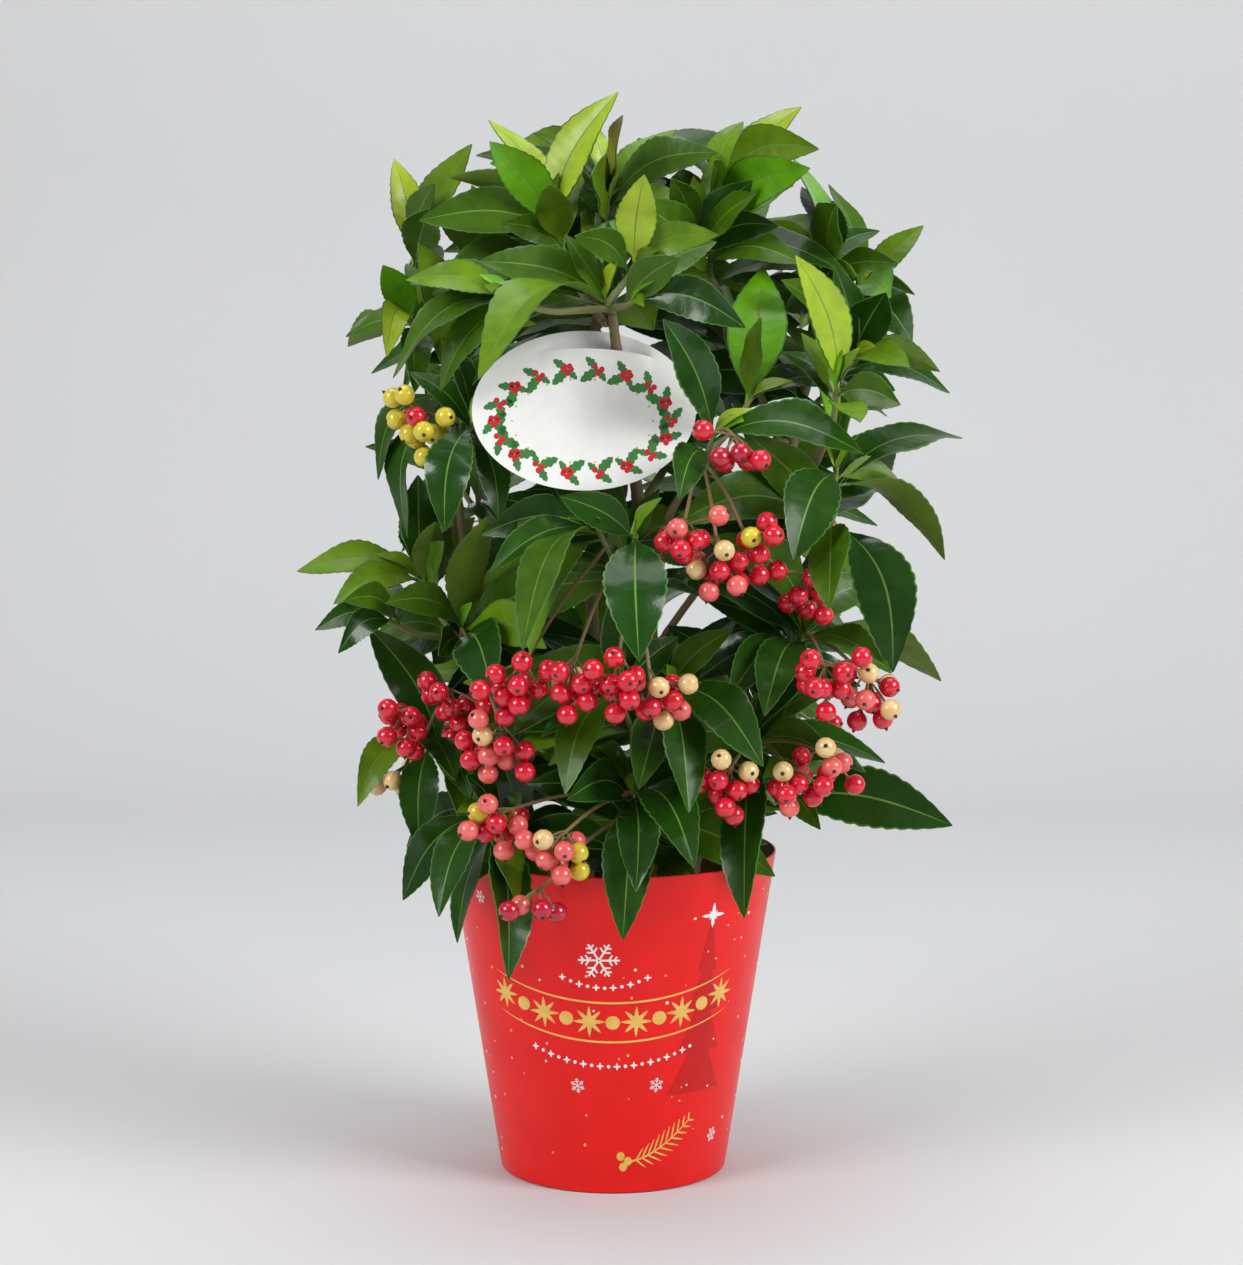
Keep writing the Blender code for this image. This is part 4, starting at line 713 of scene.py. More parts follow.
def turned_solid(rings: np.ndarray, low: float, high: float) -> tuple[np.ndarray, list]:
    """Close a stack of level rings with a fan to a point on the pot's axis at each end.

    Args:
        rings: The rings, in order from the underside's edge on, rings by sides by three.
        low: The height of the first ring's middle point.
        high: The height of the last ring's middle point.

    Returns:
        The points and the faces: the walls first, then the two fans.
    """
    count, sides, _ = rings.shape
    points = np.vstack([rings.reshape(-1, 3), [(0, 0, low), (0, 0, high)]])
    first = np.arange(sides)
    second = (first + 1) % sides
    last = (count - 1) * sides
    below = np.stack([np.full(sides, len(points) - 2), second, first], axis=-1)
    above = np.stack([np.full(sides, len(points) - 1), last + first, last + second], axis=-1)
    return points, ring_walls(count, sides).tolist() + below.tolist() + above.tolist()


def grid_quads(spot: np.ndarray) -> np.ndarray:
    """Return the quads between the neighbours of a grid of points' numbers."""
    corners = [spot[:-1, :-1], spot[:-1, 1:], spot[1:, 1:], spot[1:, :-1]]
    return np.stack(corners, axis=-1).reshape(-1, 4)


def slab(front: np.ndarray, back: np.ndarray) -> tuple[np.ndarray, list]:
    """Close two grids of the same shape into one thin solid with a rim.

    Args:
        front: The outer grid, rows by columns by three. Its columns run to the right and
            its rows up, seen from outside.
        back: The inner grid, of the same shape.

    Returns:
        The points and the faces: the front's faces first, row by row, then the back's.
    """
    rows, columns, _ = front.shape
    points = np.vstack([front.reshape(-1, 3), back.reshape(-1, 3)])
    spot = np.arange(rows * columns).reshape(rows, columns)
    quads = grid_quads(spot)
    total = rows * columns
    rim = np.concatenate([spot[0, :-1], spot[:-1, -1], spot[-1, :0:-1], spot[:0:-1, 0]])
    after = np.roll(rim, -1)
    edge = np.stack([after, rim, rim + total, after + total], axis=-1)
    return points, quads.tolist() + (quads[:, ::-1] + total).tolist() + edge.tolist()


@dataclass
class Pile:
    """Points and faces of one finished piece, gathered before they become a mesh."""

    name: str
    finishes: list[Finish]
    points: list[np.ndarray] = field(default_factory=list)
    faces: list[list[int]] = field(default_factory=list)
    finish_of: list[int] = field(default_factory=list)
    chart: list[np.ndarray] = field(default_factory=list)
    count: int = 0

    def add(self, points: np.ndarray, faces: Sequence, finish: int | Sequence[int] = 0,
            chart: Optional[np.ndarray] = None) -> None:
        """Add one closed shape.

        Args:
            points: Its points in millimetres.
            faces: Its faces, each a list of places in points.
            finish: The place of its finish in finishes, or one for each face.
            chart: The UV of each point, or nothing.
        """
        self.faces.extend([[place + self.count for place in face] for face in faces])
        self.finish_of.extend([finish] * len(faces) if isinstance(finish, int) else list(finish))
        self.points.append(np.asarray(points, float))
        self.chart.append(np.zeros((len(points), 2)) if chart is None else chart)
        self.count += len(points)

    def build(self, slot: str, nodes: Sequence[str] = (), smooth: Optional[float] = 40.0) -> bpy.types.Object:
        """Make the piece's object at the origin and ride it on the plant's body.

        Args:
            slot: The record's material slot; not used.
            nodes: The solids that this piece stands for.
            smooth: The angle in degrees past which an edge stays sharp, or None for flat faces.

        Returns:
            The finished object.
        """
        mesh = bpy.data.meshes.new(self.name)
        points = np.vstack(self.points) * MM
        mesh.from_pydata(points.tolist(), [], self.faces)
        for finish in self.finishes:
            mesh.materials.append(finish.make())
        mesh.polygons.foreach_set("material_index", np.array(self.finish_of, dtype=np.int32))
        corners = np.zeros(len(mesh.loops), dtype=np.int32)
        mesh.loops.foreach_get("vertex_index", corners)
        layer = mesh.uv_layers.new(name=UV_NAME)
        layer.data.foreach_set("uv", np.vstack(self.chart)[corners].ravel())
        if smooth is not None:
            mesh.shade_smooth()
            mesh.set_sharp_from_angle(angle=math.radians(smooth))
        mesh.update()
        made = bpy.data.objects.new(self.name, mesh)
        bpy.context.scene.collection.objects.link(made)
        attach(made, BODY)
        if nodes:
            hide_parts(*nodes)
        log.info("%s: %d faces", self.name, len(self.faces))
        return made


def outline_at(height: float | np.ndarray) -> list:
    """Return how far the crown reaches at a height to the left, to the right and to the front."""
    return [np.interp(height, OUTLINE_HEIGHTS, row) for row in (OUTLINE_LEFT, OUTLINE_RIGHT, OUTLINE_FRONT)]


class Solids:
    """The shapes grown so far, kept so that new ones can be tested against them."""

    def __init__(self) -> None:
        """Start with nothing kept."""
        self.kept: list = []

    def add(self, owner: str, points: np.ndarray, faces: Sequence) -> None:
        """Keep one shape under its owner's name."""
        tree = BVHTree.FromPolygons(points.tolist(), [list(face) for face in faces])
        self.kept.append((owner, points.min(axis=0), points.max(axis=0), tree))

    def touches(self, points: np.ndarray, faces: Sequence, skip: Sequence[str] = ()) -> bool:
        """Tell whether a shape cuts a kept one whose owner isn't skipped."""
        low, high = points.min(axis=0), points.max(axis=0)
        near = [tree for owner, least, most, tree in self.kept
                if owner not in skip and np.all(least <= high) and np.all(low <= most)]
        if not near:
            return False
        shape = BVHTree.FromPolygons(points.tolist(), [list(face) for face in faces])
        return any(shape.overlap(tree) for tree in near)


def point_at_height(path: np.ndarray, radii: np.ndarray,
                    height: float) -> tuple[np.ndarray, np.ndarray, float]:
    """Return the centre, direction and radius where a rising path passes a height."""
    for index in range(len(path) - 1):
        if path[index][2] <= height <= path[index + 1][2]:
            share = (height - path[index][2]) / (path[index + 1][2] - path[index][2])
            centre = path[index] + share * (path[index + 1] - path[index])
            radius = radii[index] + share * (radii[index + 1] - radii[index])
            return centre, unit(path[index + 1] - path[index]), radius
    raise ValueError(f"no point at height {height}")


def square_pair(axis: np.ndarray) -> tuple[np.ndarray, np.ndarray]:
    """Return two directions square to an axis and to each other."""
    level = unit(np.cross(axis, (0.2, 0.1, 1) if abs(axis[2]) < 0.9 else (1, 0, 0)))
    return level, np.cross(axis, level)


def side_start(path: np.ndarray, radii: np.ndarray, height: float, toward: Sequence[float],
               radius: float) -> tuple[np.ndarray, np.ndarray]:
    """Return the start and direction of a piece that leaves a limb's side, just clear of it."""
    centre, tangent, limb_radius = point_at_height(path, radii, height)
    outward = np.array(toward, float) - centre
    outward = unit(outward - tangent * np.dot(outward, tangent))
    return centre + outward * (limb_radius + SEAT_GAP), outward


def tip_start(path: np.ndarray) -> tuple[np.ndarray, np.ndarray]:
    """Return the start and direction of a piece that follows on from a limb's tip."""
    along = unit(path[-1] - path[-2])
    return path[-1] + along * SEAT_GAP, along


def blade_axes(chord: np.ndarray, show: float) -> tuple[np.ndarray, np.ndarray]:
    """Roll a leaf about its chord until it shows the wanted share of its width from the front.

    Args:
        chord: The line from the leaf's root to its tip.
        show: The share of its width that shows, negative for its underside.

    Returns:
        The directions across the blade and out of its upper side.
    """
    along = unit(chord)
    heading = math.atan2(along[1], along[0])
    across = np.array((math.sin(heading), -math.cos(heading), 0.0))
    above = np.cross(across, along)
    seen = np.array((-along[2], 0.0, along[0]))
    if np.linalg.norm(seen) < END_ON:
        return across, above
    seen = unit(seen)
    flat, upright = np.dot(across, seen), np.dot(above, seen)
    most = math.hypot(flat, upright)
    middle = math.atan2(upright, flat)
    spread = math.acos(min(1.0, abs(show) / most))
    best = None
    for roll in (middle + spread, middle - spread, middle + spread + math.pi, middle - spread + math.pi):
        roll = (roll + math.pi) % math.tau - math.pi
        side = across * math.cos(roll) + above * math.sin(roll)
        face = above * math.cos(roll) - across * math.sin(roll)
        wrong_side = (face[1] < 0) != (show > 0)
        cost = abs(roll) + (WRONG_SIDE_COST if wrong_side else 0)
        if best is None or cost < best[0]:
            best = (cost, side, face)
    return best[1], best[2]


@dataclass
class Leaf:
    """One leaf: its root, tip, the width it shows, its arch, and its tone."""

    root: np.ndarray
    tip: np.ndarray
    show: float
    bow: float
    tone: Tone = Tone.MIDDLE
    rows: int = 40

    COLUMNS = (-1.0, -0.94, -0.55, -0.035, 0.035, 0.55, 0.94, 1.0)
    PETIOLE = 0.09
    STALK_HALF = 0.7
    TIP_HALF = 0.25
    TEETH = 12
    TOOTH = 0.075
    THIN = 0.5
    ROW_BIAS = 0.97
    SHAPE = (0.88, 0.85)
    ARCH_BIAS = 0.85
    RUFFLE = (0.05, 0.13)
    RUFFLE_WAVES = (1.2, 2.4)
    FOLD_SCALE = (0.7, 1.5)
    FOLD_POWER = 1.4
    SWAY = 0.03
    RIB = (0.12, 0.35)
    VEINS_ALONG = 18.0
    VEINS_ACROSS = 30.0

    def frame(self) -> tuple[np.ndarray, float, float, np.ndarray, np.ndarray, np.ndarray]:
        """Return the chord, length, width and the directions across, out of and up from the leaf."""
        chord = self.tip - self.root
        length = float(np.linalg.norm(chord))
        width = max(abs(self.show), LEAF_SLENDERNESS * length)
        side, face = blade_axes(chord, self.show / width)
        heading = math.atan2(chord[1], chord[0])
        level = np.array((math.sin(heading), -math.cos(heading), 0.0))
        return chord, length, width, side, face, np.cross(level, unit(chord))

    def plain(self, grow: float = 0.0, start: float = 0.0) -> tuple[np.ndarray, list]:
        """Return the coarse blade for clearance tests, as the solid has it."""
        chord, length, width, side, face, lift = self.frame()
        thick = max(LEAF_THINNEST, LEAF_THICKNESS * length) / 2 + grow

        def middle(t: float) -> np.ndarray:
            """Return the midrib's place at a share of the length."""
            return self.root + chord * t + lift * self.bow * length * math.sin(math.pi * t ** self.ARCH_BIAS)

        points = [middle(start)]
        for t, share in LEAF_STATIONS:
            centre = middle(t)
            half = share * width / 2 + grow
            points += [centre + side * half + face * LEAF_FOLD * half, centre + face * thick,
                       centre - side * half + face * LEAF_FOLD * half, centre - face * thick]
        points.append(self.tip + unit(chord) * grow)
        faces = []
        for corner in range(4):
            after = (corner + 1) % 4
            faces += [(0, 1 + corner, 1 + after), (1 + corner, 5 + corner, 5 + after),
                      (1 + corner, 5 + after, 1 + after), (9, 5 + after, 5 + corner)]
        return np.array(points), faces

    def draw(self, pile: Pile, rng: random.Random) -> None:
        """Add the fine leaf to a pile.

        With s the share of the blade past its stalk, half the width is the sine of pi times
        s to the 0.88, to the power 0.85, with rounded teeth added, and the blade lifts from
        the midrib by the fold times the distance to the 1.4, with a slow wave on its edges.

        Args:
            pile: The pile that takes it, with finishes in the order of leaf_finishes().
            rng: The seeded source of small differences.
        """
        chord, length, width, side, face, lift = self.frame()
        t = np.linspace(0, 1, self.rows) ** self.ROW_BIAS
        v = np.array(self.COLUMNS)
        s = np.clip((t - self.PETIOLE) / (1 - self.PETIOLE), 0, 1)
        half = width / 2 * np.sin(math.pi * s ** self.SHAPE[0]) ** self.SHAPE[1]
        teeth = 1 + self.TOOTH * (np.abs(np.sin(math.pi * self.TEETH * s)) - 0.5)
        half = np.maximum(half * teeth, np.where(t < 0.5, self.STALK_HALF, self.TIP_HALF))
        height, waves = rng.uniform(*self.RUFFLE), rng.uniform(*self.RUFFLE_WAVES)
        wave = height * np.sin(math.tau * (waves * t + rng.random()))
        ruffle = wave[:, None] * v[None] ** 2
        fold = rng.uniform(*self.FOLD_SCALE) * LEAF_FOLD * np.abs(v[None]) ** self.FOLD_POWER
        rise = half[:, None] * (fold + ruffle)
        arch = self.bow * length * np.sin(math.pi * t ** self.ARCH_BIAS)
        sway = rng.uniform(-self.SWAY, self.SWAY) * length * np.sin(math.pi * t)
        middle = self.root + chord * t[:, None] + lift * arch[:, None] + side * sway[:, None]
        sheet = middle[:, None] + side * (half[:, None] * v[None])[..., None] + face * rise[..., None]
        taper = 0.6 + 0.4 * np.sin(math.pi * np.clip(t, 0.02, 0.98))
        thick = (np.where(s > 0, self.THIN, 2 * self.STALK_HALF) * taper)[:, None]
        rib = np.exp(-(v / self.RIB[0]) ** 2)[None] * self.RIB[1]
        above, below = face * (thick * 0.5)[..., None], face * (thick * (0.5 + rib))[..., None]
        points, faces = slab(sheet + above, sheet - below)
        tone, (under, midrib, margin) = list(Tone).index(self.tone), range(len(Tone), len(Tone) + 3)
        strip = np.array([margin, tone, tone, midrib, tone, tone, margin])
        upper = np.tile(strip, self.rows - 1)
        lower = np.tile(np.where(strip == midrib, midrib, under), self.rows - 1)
        rim = np.full(len(faces) - len(upper) - len(lower), margin)
        lengthwise, crosswise = t * length * MM * self.VEINS_ALONG, v * width * MM * self.VEINS_ACROSS
        grid = np.stack(np.meshgrid(lengthwise, crosswise, indexing="ij"), axis=-1)
        chart = np.vstack([grid.reshape(-1, 2)] * 2)
        pile.add(points, faces, np.concatenate([upper, lower, rim]).tolist(), chart)


def leaf_finishes() -> list[Finish]:
    """Return the finishes of a pile of leaves: one for each tone, underside, midrib and margin."""
    return [LEAF_FINISHES[tone] for tone in Tone] + [UNDERSIDE, MIDRIB, MARGIN]


@dataclass
class Berry:
    """One berry: its middle, the way to its ray and how ripe it is."""

    centre: np.ndarray
    toward: np.ndarray
    ripeness: Ripeness

    ROWS = 9
    SIDES = 12
    POLE = 0.12
    PRESS = 0.06
    TIP_SINK = 0.35
    TIP_HEIGHT = 1.2
    TIP_SHARES = (0.0, 0.6, 1.0)
    TIP_RADII = (0.9, 0.45, 0.15)
    CALYX_SINK = 0.45
    CALYX_RISES = (0.0, 0.45, 1.1)
    CALYX_RADII = (1.5, 1.1, 0.55)
    SMALL_SIDES = 6

    def plain(self, grow: float = 0.0) -> tuple[np.ndarray, list]:
        """Return the coarse ball for clearance tests, as the solid has it."""
        ball = bmesh.new()
        bmesh.ops.create_icosphere(ball, subdivisions=1, radius=BERRY_RADIUS + grow)
        ball.normal_update()
        ball.faces.ensure_lookup_table()
        turn = ball.faces[0].normal.rotation_difference(Vector(self.toward))
        bmesh.ops.rotate(ball, verts=ball.verts, matrix=turn.to_matrix())
        points = np.array([vert.co for vert in ball.verts]) + self.centre
        faces = [tuple(vert.index for vert in facet.verts) for facet in ball.faces]
        ball.free()
        return points, faces

    def draw(self, pile: Pile) -> None:
        """Add the berry, its dark tip and its little calyx to a pile of berries.

        The ball's rings lie at the radius times the sine and cosine of even angles,
        pressed in a little at both ends.
        """
        down = -unit(self.toward)
        angles = np.linspace(self.POLE, math.pi - self.POLE, self.ROWS)
        rise = -np.cos(angles) * BERRY_RADIUS * (1 - self.PRESS * np.cos(angles) ** 6)
        path = self.centre + down * rise[:, None]
        points, faces = ring_tube(path, BERRY_RADIUS * np.sin(angles), self.SIDES)
        pile.add(points, faces, list(Ripeness).index(self.ripeness))
        end = self.centre + down * (BERRY_RADIUS - self.TIP_SINK)
        nub = end + down * self.TIP_HEIGHT * np.array(self.TIP_SHARES)[:, None]
        pile.add(*ring_tube(nub, self.TIP_RADII, self.SMALL_SIDES), len(Ripeness))
        crown = self.centre - down * (BERRY_RADIUS - self.CALYX_SINK)
        cap = crown - down * np.array(self.CALYX_RISES)[:, None]
        pile.add(*ring_tube(cap, self.CALYX_RADII, self.SMALL_SIDES), len(Ripeness) + 1)


def berry_finishes() -> list[Finish]:
    """Return the finishes of a pile of berries: one for each ripeness, the tip and the calyx."""
    return [BERRY_FINISHES[ripeness] for ripeness in Ripeness] + [BERRY_TIP, STALK]


@dataclass
class Growth:
    """The plant grown by the source's rule: limbs, twigs, fruit and leaves."""

    rng: random.Random
    solids: Solids = field(default_factory=Solids)
    lines: dict = field(default_factory=dict)
    hubs: dict = field(default_factory=dict)
    twigs: dict = field(default_factory=dict)
    stalks: dict = field(default_factory=dict)
    berries: dict = field(default_factory=dict)
    leaves: dict = field(default_factory=dict)

    def keep_made_things(self) -> None:
        """Keep the pot, soil and tag clear, read from the frame's own meshes."""
        for name in ("pot_cover", "soil", "tag"):
            mesh = frame["nodes"][name].data
            points = np.array([vert.co for vert in mesh.vertices]) / MM
            self.solids.add(name, points, [tuple(facet.vertices) for facet in mesh.polygons])

    def grow_limbs(self) -> None:
        """Lay every stem's and bough's centre line and radii."""
        for limb in STEMS + BOUGHS:
            if limb.parent is None:
                start = np.array((*limb.start, SOIL_TOP + SEAT_GAP))
                path, radii = self.limb_path(limb, start)
                heights = np.array(FLARE_HEIGHTS)
                foot = start + heights[:, None] * (0, 0, 1)
                foot[-1, :2] += (path[1][:2] - start[:2]) * FLARE_LEAN
                path = np.vstack([foot, path[1:]])
                radii = np.concatenate([limb.foot * (1 + FLARE * np.exp(-heights / FLARE_FADE)), radii[1:]])
            elif limb.start is None:
                start, along = tip_start(self.lines[limb.parent][0])
                path, radii = self.limb_path(limb, start)
                path = np.vstack([start, start + along * TIP_RUN, path[1:]])
                radii = np.concatenate([radii[:1], radii])
            else:
                parent_path, parent_radii = self.lines[limb.parent]
                start, outward = side_start(parent_path, parent_radii, limb.start, limb.route[0], limb.foot)
                bend = start + outward * BOUGH_TURN + np.array((0, 0, BOUGH_RISE))
                route = [np.array(point, float) for point in limb.route]
                path = smooth_path([start + outward * BOUGH_FOOT, bend] + route, 2)
                path = np.vstack([start, path[0], path[2:]])
                radii = limb.foot + (limb.tip - limb.foot) * np.linspace(0, 1, len(path))
            self.lines[limb.name] = (path, radii)
            self.solids.add(limb.name, *ring_tube(path, radii, limb.sides))

    def limb_path(self, limb: Limb, start: np.ndarray) -> tuple[np.ndarray, np.ndarray]:
        """Return the smooth centre line and radii of a limb from its start point."""
        path = smooth_path([start] + [np.array(point, float) for point in limb.route], 2)
        return path, limb.foot + (limb.tip - limb.foot) * np.linspace(0, 1, len(path))

    def twig_path(self, start: np.ndarray, outward: np.ndarray, hub: np.ndarray) -> np.ndarray:
        """Return a gently curved path from a start, first outward and then to the hub."""
        length = np.linalg.norm(hub - start)
        first = start + outward * min(TWIG_START, TWIG_START_SHARE * length)
        middle = (first + hub) / 2 - np.array((0, 0, TWIG_SAG * length))
        return np.vstack([start, smooth_path([first, middle, hub], 2)])

    def grow_twigs(self) -> None:
        """Grow each mass's main twig and its side shoots."""
        for mass in MASSES:
            path, radii = self.lines[mass.limb]
            hub = np.array(mass.shoots[0].hub, float)
            if mass.start is None:
                start, outward = tip_start(path)
            else:
                start, outward = side_start(path, radii, mass.start, hub, TWIG_FOOT)
            foot = min(TWIG_FOOT, radii[-1] + 0.2) if mass.start is None else TWIG_FOOT
            main = self.twig_path(start, outward, hub)
            self.twigs[mass.name], self.stalks[mass.name] = [], []
            self.berries[mass.name], self.leaves[mass.name] = [], []
            for shoot in mass.shoots:
                hub = np.array(shoot.hub, float)
                line = main
                if shoot is not mass.shoots[0]:
                    spot = shoot.origin * (len(main) - 1)
                    low = int(spot)
                    origin = main[low] + (spot - low) * (main[low + 1] - main[low])
                    line = self.twig_path(origin, unit(hub - origin), hub)[1:]
                    line[0] = origin
                self.twigs[mass.name].append((line, foot))
                self.solids.add(mass.name, *ring_tube(line, np.linspace(foot, TWIG_TIP, len(line)), 3))
                self.hubs[shoot.name] = (mass.name, line, unit(line[-1] - line[-2]))

    def cluster_axes(self, cluster: Cluster) -> tuple[np.ndarray, np.ndarray, np.ndarray, np.ndarray]:
        """Return a cluster's middle, the way it hangs, and two directions square to that."""
        middle = np.array(cluster.middle, float)
        outward = unit(middle * (1, 1, 0) - np.array((*CROWN_AXIS, 0)))
        axis = unit(outward * UMBEL_LEAN - np.array((0, 0, 1)))
        level = unit(np.cross(axis, (0, 0, 1)))
        return middle, axis, level, np.cross(axis, level)

    def umbel(self, cluster: Cluster) -> tuple[np.ndarray, np.ndarray]:
        """Spread a cluster's berries on a round cap below its joint, as far out as keeps them apart.

        Args:
            cluster: The cluster's plan.

        Returns:
            The joint and the berries' places.
        """
        middle, axis, level, beside = self.cluster_axes(cluster)
        width = math.radians(cluster.spread)
        share = (np.arange(cluster.count) + 0.5) / cluster.count
        cap = 2 * math.pi * (1 - math.cos(width))
        reach = BERRY_SPACING * math.sqrt(cluster.count * UMBEL_PACKING / cap)
        reach = max(reach, UMBEL_LEAST)
        lean = np.arccos(1 - share * (1 - math.cos(width)))[:, None]
        turns = (np.arange(cluster.count) * GOLDEN_ANGLE + self.rng.uniform(0, math.tau))[:, None]
        aims = axis * np.cos(lean) + (level * np.cos(turns) + beside * np.sin(turns)) * np.sin(lean)
        for _ in range(UMBEL_ROUNDS):
            offsets = aims[:, None] - aims[None]
            gaps = np.linalg.norm(offsets, axis=2) + np.eye(cluster.count) * FAR
            push = np.clip(BERRY_SPACING / reach - gaps, 0, None)[..., None] * offsets / gaps[..., None]
            aims = aims + UMBEL_PUSH * push.sum(axis=1)
            aims /= np.linalg.norm(aims, axis=1, keepdims=True)
        joint = middle - axis * reach * UMBEL_JOINT
        lengths = reach * np.array([self.rng.uniform(*RAY_SCALE) for _ in share])
        return joint, joint + aims * lengths[:, None]

    def grow_fruit(self) -> None:
        """Grow every cluster: a stalk from its shoot to a joint, and a ray to each berry."""
        for cluster, tones in zip(CLUSTERS, BERRY_TONES):
            owner, line, _ = self.hubs[cluster.shoot]
            joint, places = self.umbel(cluster)
            bearing = line[2:]
            root = bearing[int(np.argmin(np.linalg.norm(bearing - joint, axis=1)))]
            bend = (root + joint) / 2 + np.array((0, 0, STALK_RISE))
            spine = np.array([root, bend, joint])
            if self.solids.touches(*ring_tube(spine, STALK_RADII, 4), skip=(owner,)):
                continue
            self.stalks[owner].append((spine, 1.0))
            self.solids.add(owner, *ring_tube(spine, STALK_RADII, 4))
            for number, place in enumerate(places):
                knot = joint + unit(bend - joint) * (RAY_FIRST + RAY_STEP * number)
                toward = unit(knot - place)
                fruit = Berry(place, toward, Ripeness(tones[number % len(tones)]))
                ends = np.array([knot, place + toward * BERRY_RADIUS * RAY_END])
                ray = ring_tube(ends, (RAY_RADIUS, RAY_RADIUS), 3)
                if self.solids.touches(*fruit.plain(CLEARANCE), skip=(owner,)):
                    continue
                if self.solids.touches(*ray, skip=(owner, owner + " berry")):
                    continue
                self.berries[owner].append(fruit)
                self.stalks[owner].append((ends, 0.0))
                self.solids.add(owner + " berry", *fruit.plain())
                self.solids.add(owner, *ray)

    def grow_more_fruit(self) -> None:
        """Grow the rest of each cluster: berries at random slants between and above the first ones."""
        for cluster, tones in zip(CLUSTERS, BERRY_TONES):
            owner = self.hubs[cluster.shoot][0]
            middle, axis, level, beside = self.cluster_axes(cluster)
            joint = middle - axis * EXTRA_JOINT
            added = 0
            for _ in range(EXTRA_TRIES):
                lean = math.radians(self.rng.uniform(0, EXTRA_LEAN))
                turn = self.rng.uniform(0, math.tau)
                out = level * math.cos(turn) + beside * math.sin(turn)
                aim = axis * math.cos(lean) + out * math.sin(lean)
                place = joint + aim * self.rng.uniform(*EXTRA_REACH)
                toward = unit(joint - place)
                fruit = Berry(place, toward, Ripeness(self.rng.choice(tones)))
                ends = np.array([joint - axis * EXTRA_KNOT, place + toward * BERRY_RADIUS * RAY_END])
                if self.solids.touches(*fruit.plain(EXTRA_ROOM)):
                    continue
                if self.solids.touches(*ring_tube(ends, (EXTRA_RAY, EXTRA_RAY), 3), skip=(owner,)):
                    continue
                self.berries[owner].append(fruit)
                self.stalks[owner].append((ends, 0.0))
                self.solids.add(owner + " berry", *fruit.plain())
                added += 1
                if added == min(EXTRA_BERRIES, cluster.count):
                    break

    def try_leaf(self, owner: str, leaf: Leaf) -> bool:
        """Add a leaf where it touches nothing but its own twig, and tell whether it was added."""
        own = (owner, owner + " berry", owner + " leaf")
        whole = leaf.plain(CLEARANCE)
        if self.solids.touches(*whole, skip=own) or self.solids.touches(*leaf.plain(0.0, OWN_TWIG_SHARE)):
            return False
        self.leaves[owner].append(leaf)
        self.solids.add(owner + " leaf", *whole)
        return True

    def back_along(self, line: np.ndarray, distance: float) -> np.ndarray:
        """Return the point of a twig's line at a distance back from its tip."""
        spans = np.linalg.norm(np.diff(line[::-1], axis=0), axis=1)
        travelled = np.concatenate([[0], np.cumsum(spans)])
        distance = min(distance, 0.8 * travelled[-1])
        return np.array([np.interp(distance, travelled, line[::-1, axis]) for axis in range(3)])

    def fill_leaf(self, axis: np.ndarray, line: np.ndarray, number: int, count: int,
                  back_only: bool) -> Leaf:
        """Return one leaf of the spiral round a shoot, a golden angle on from the last."""
        share = (number + 0.5) / count
        turn = number * GOLDEN_ANGLE + self.rng.uniform(-FILL_TURN_PLAY, FILL_TURN_PLAY)
        level, beside = square_pair(axis)
        lean = FILL_LEAN[0] + FILL_LEAN[1] * share + self.rng.uniform(-FILL_LEAN_PLAY, FILL_LEAN_PLAY)
        lean = math.radians(lean)
        out = level * math.cos(turn) + beside * math.sin(turn)
        if back_only and out[1] < 0:
            out = out - np.array((0, 2 * out[1], 0))
        aim = axis * math.cos(lean) + out * math.sin(lean)
        length = (FILL_LENGTH[0] + FILL_LENGTH[1] * share) * self.rng.uniform(*FILL_SCALE)
        root = self.back_along(line, FILL_FIRST + LEAF_STEP * FILL_STEP * number)
        tip = root + aim * length
        tip[2] -= length * (FILL_DROOP[0] + FILL_DROOP[1] * share)
        show = LEAF_SLENDERNESS * np.linalg.norm(tip - root) * self.rng.uniform(*FILL_SHOW)
        return Leaf(root, tip, show, FILL_ARCH[0] + FILL_ARCH[1] * share)

    def grow_leaves(self) -> None:
        """Grow the leaves that shape the crown, then those that fill it from behind."""
        shoots = [shoot for mass in MASSES for shoot in mass.shoots]
        for shoot in shoots:
            owner, line, _ = self.hubs[shoot.name]
            hub = np.array(shoot.hub, float)
            tones = LEAF_TONES.get(shoot.name, "")
            for number, (right, back, up, show, bow) in enumerate(shoot.leaves):
                root = self.back_along(line, SHAPE_FIRST + LEAF_STEP * SHAPE_STEP * number)
                for shift in LEAF_SHIFTS:
                    tip = hub + np.array((right, back + shift, up), float)
                    if self.try_leaf(owner, Leaf(root, tip, show, bow, Tone(tones[number]))):
                        break
        for shoot in shoots:
            owner, line, axis = self.hubs[shoot.name]
            for number in range(shoot.fill):
                for _ in range(FILL_TRIES):
                    leaf = self.fill_leaf(axis, line, number, shoot.fill, bool(shoot.leaves))
                    leaf.tone = Tone(FILL_TONES[(number * 5 + len(shoot.name)) % len(FILL_TONES)])
                    if self.inside_crown(leaf.plain()[0]) and self.try_leaf(owner, leaf):
                        break

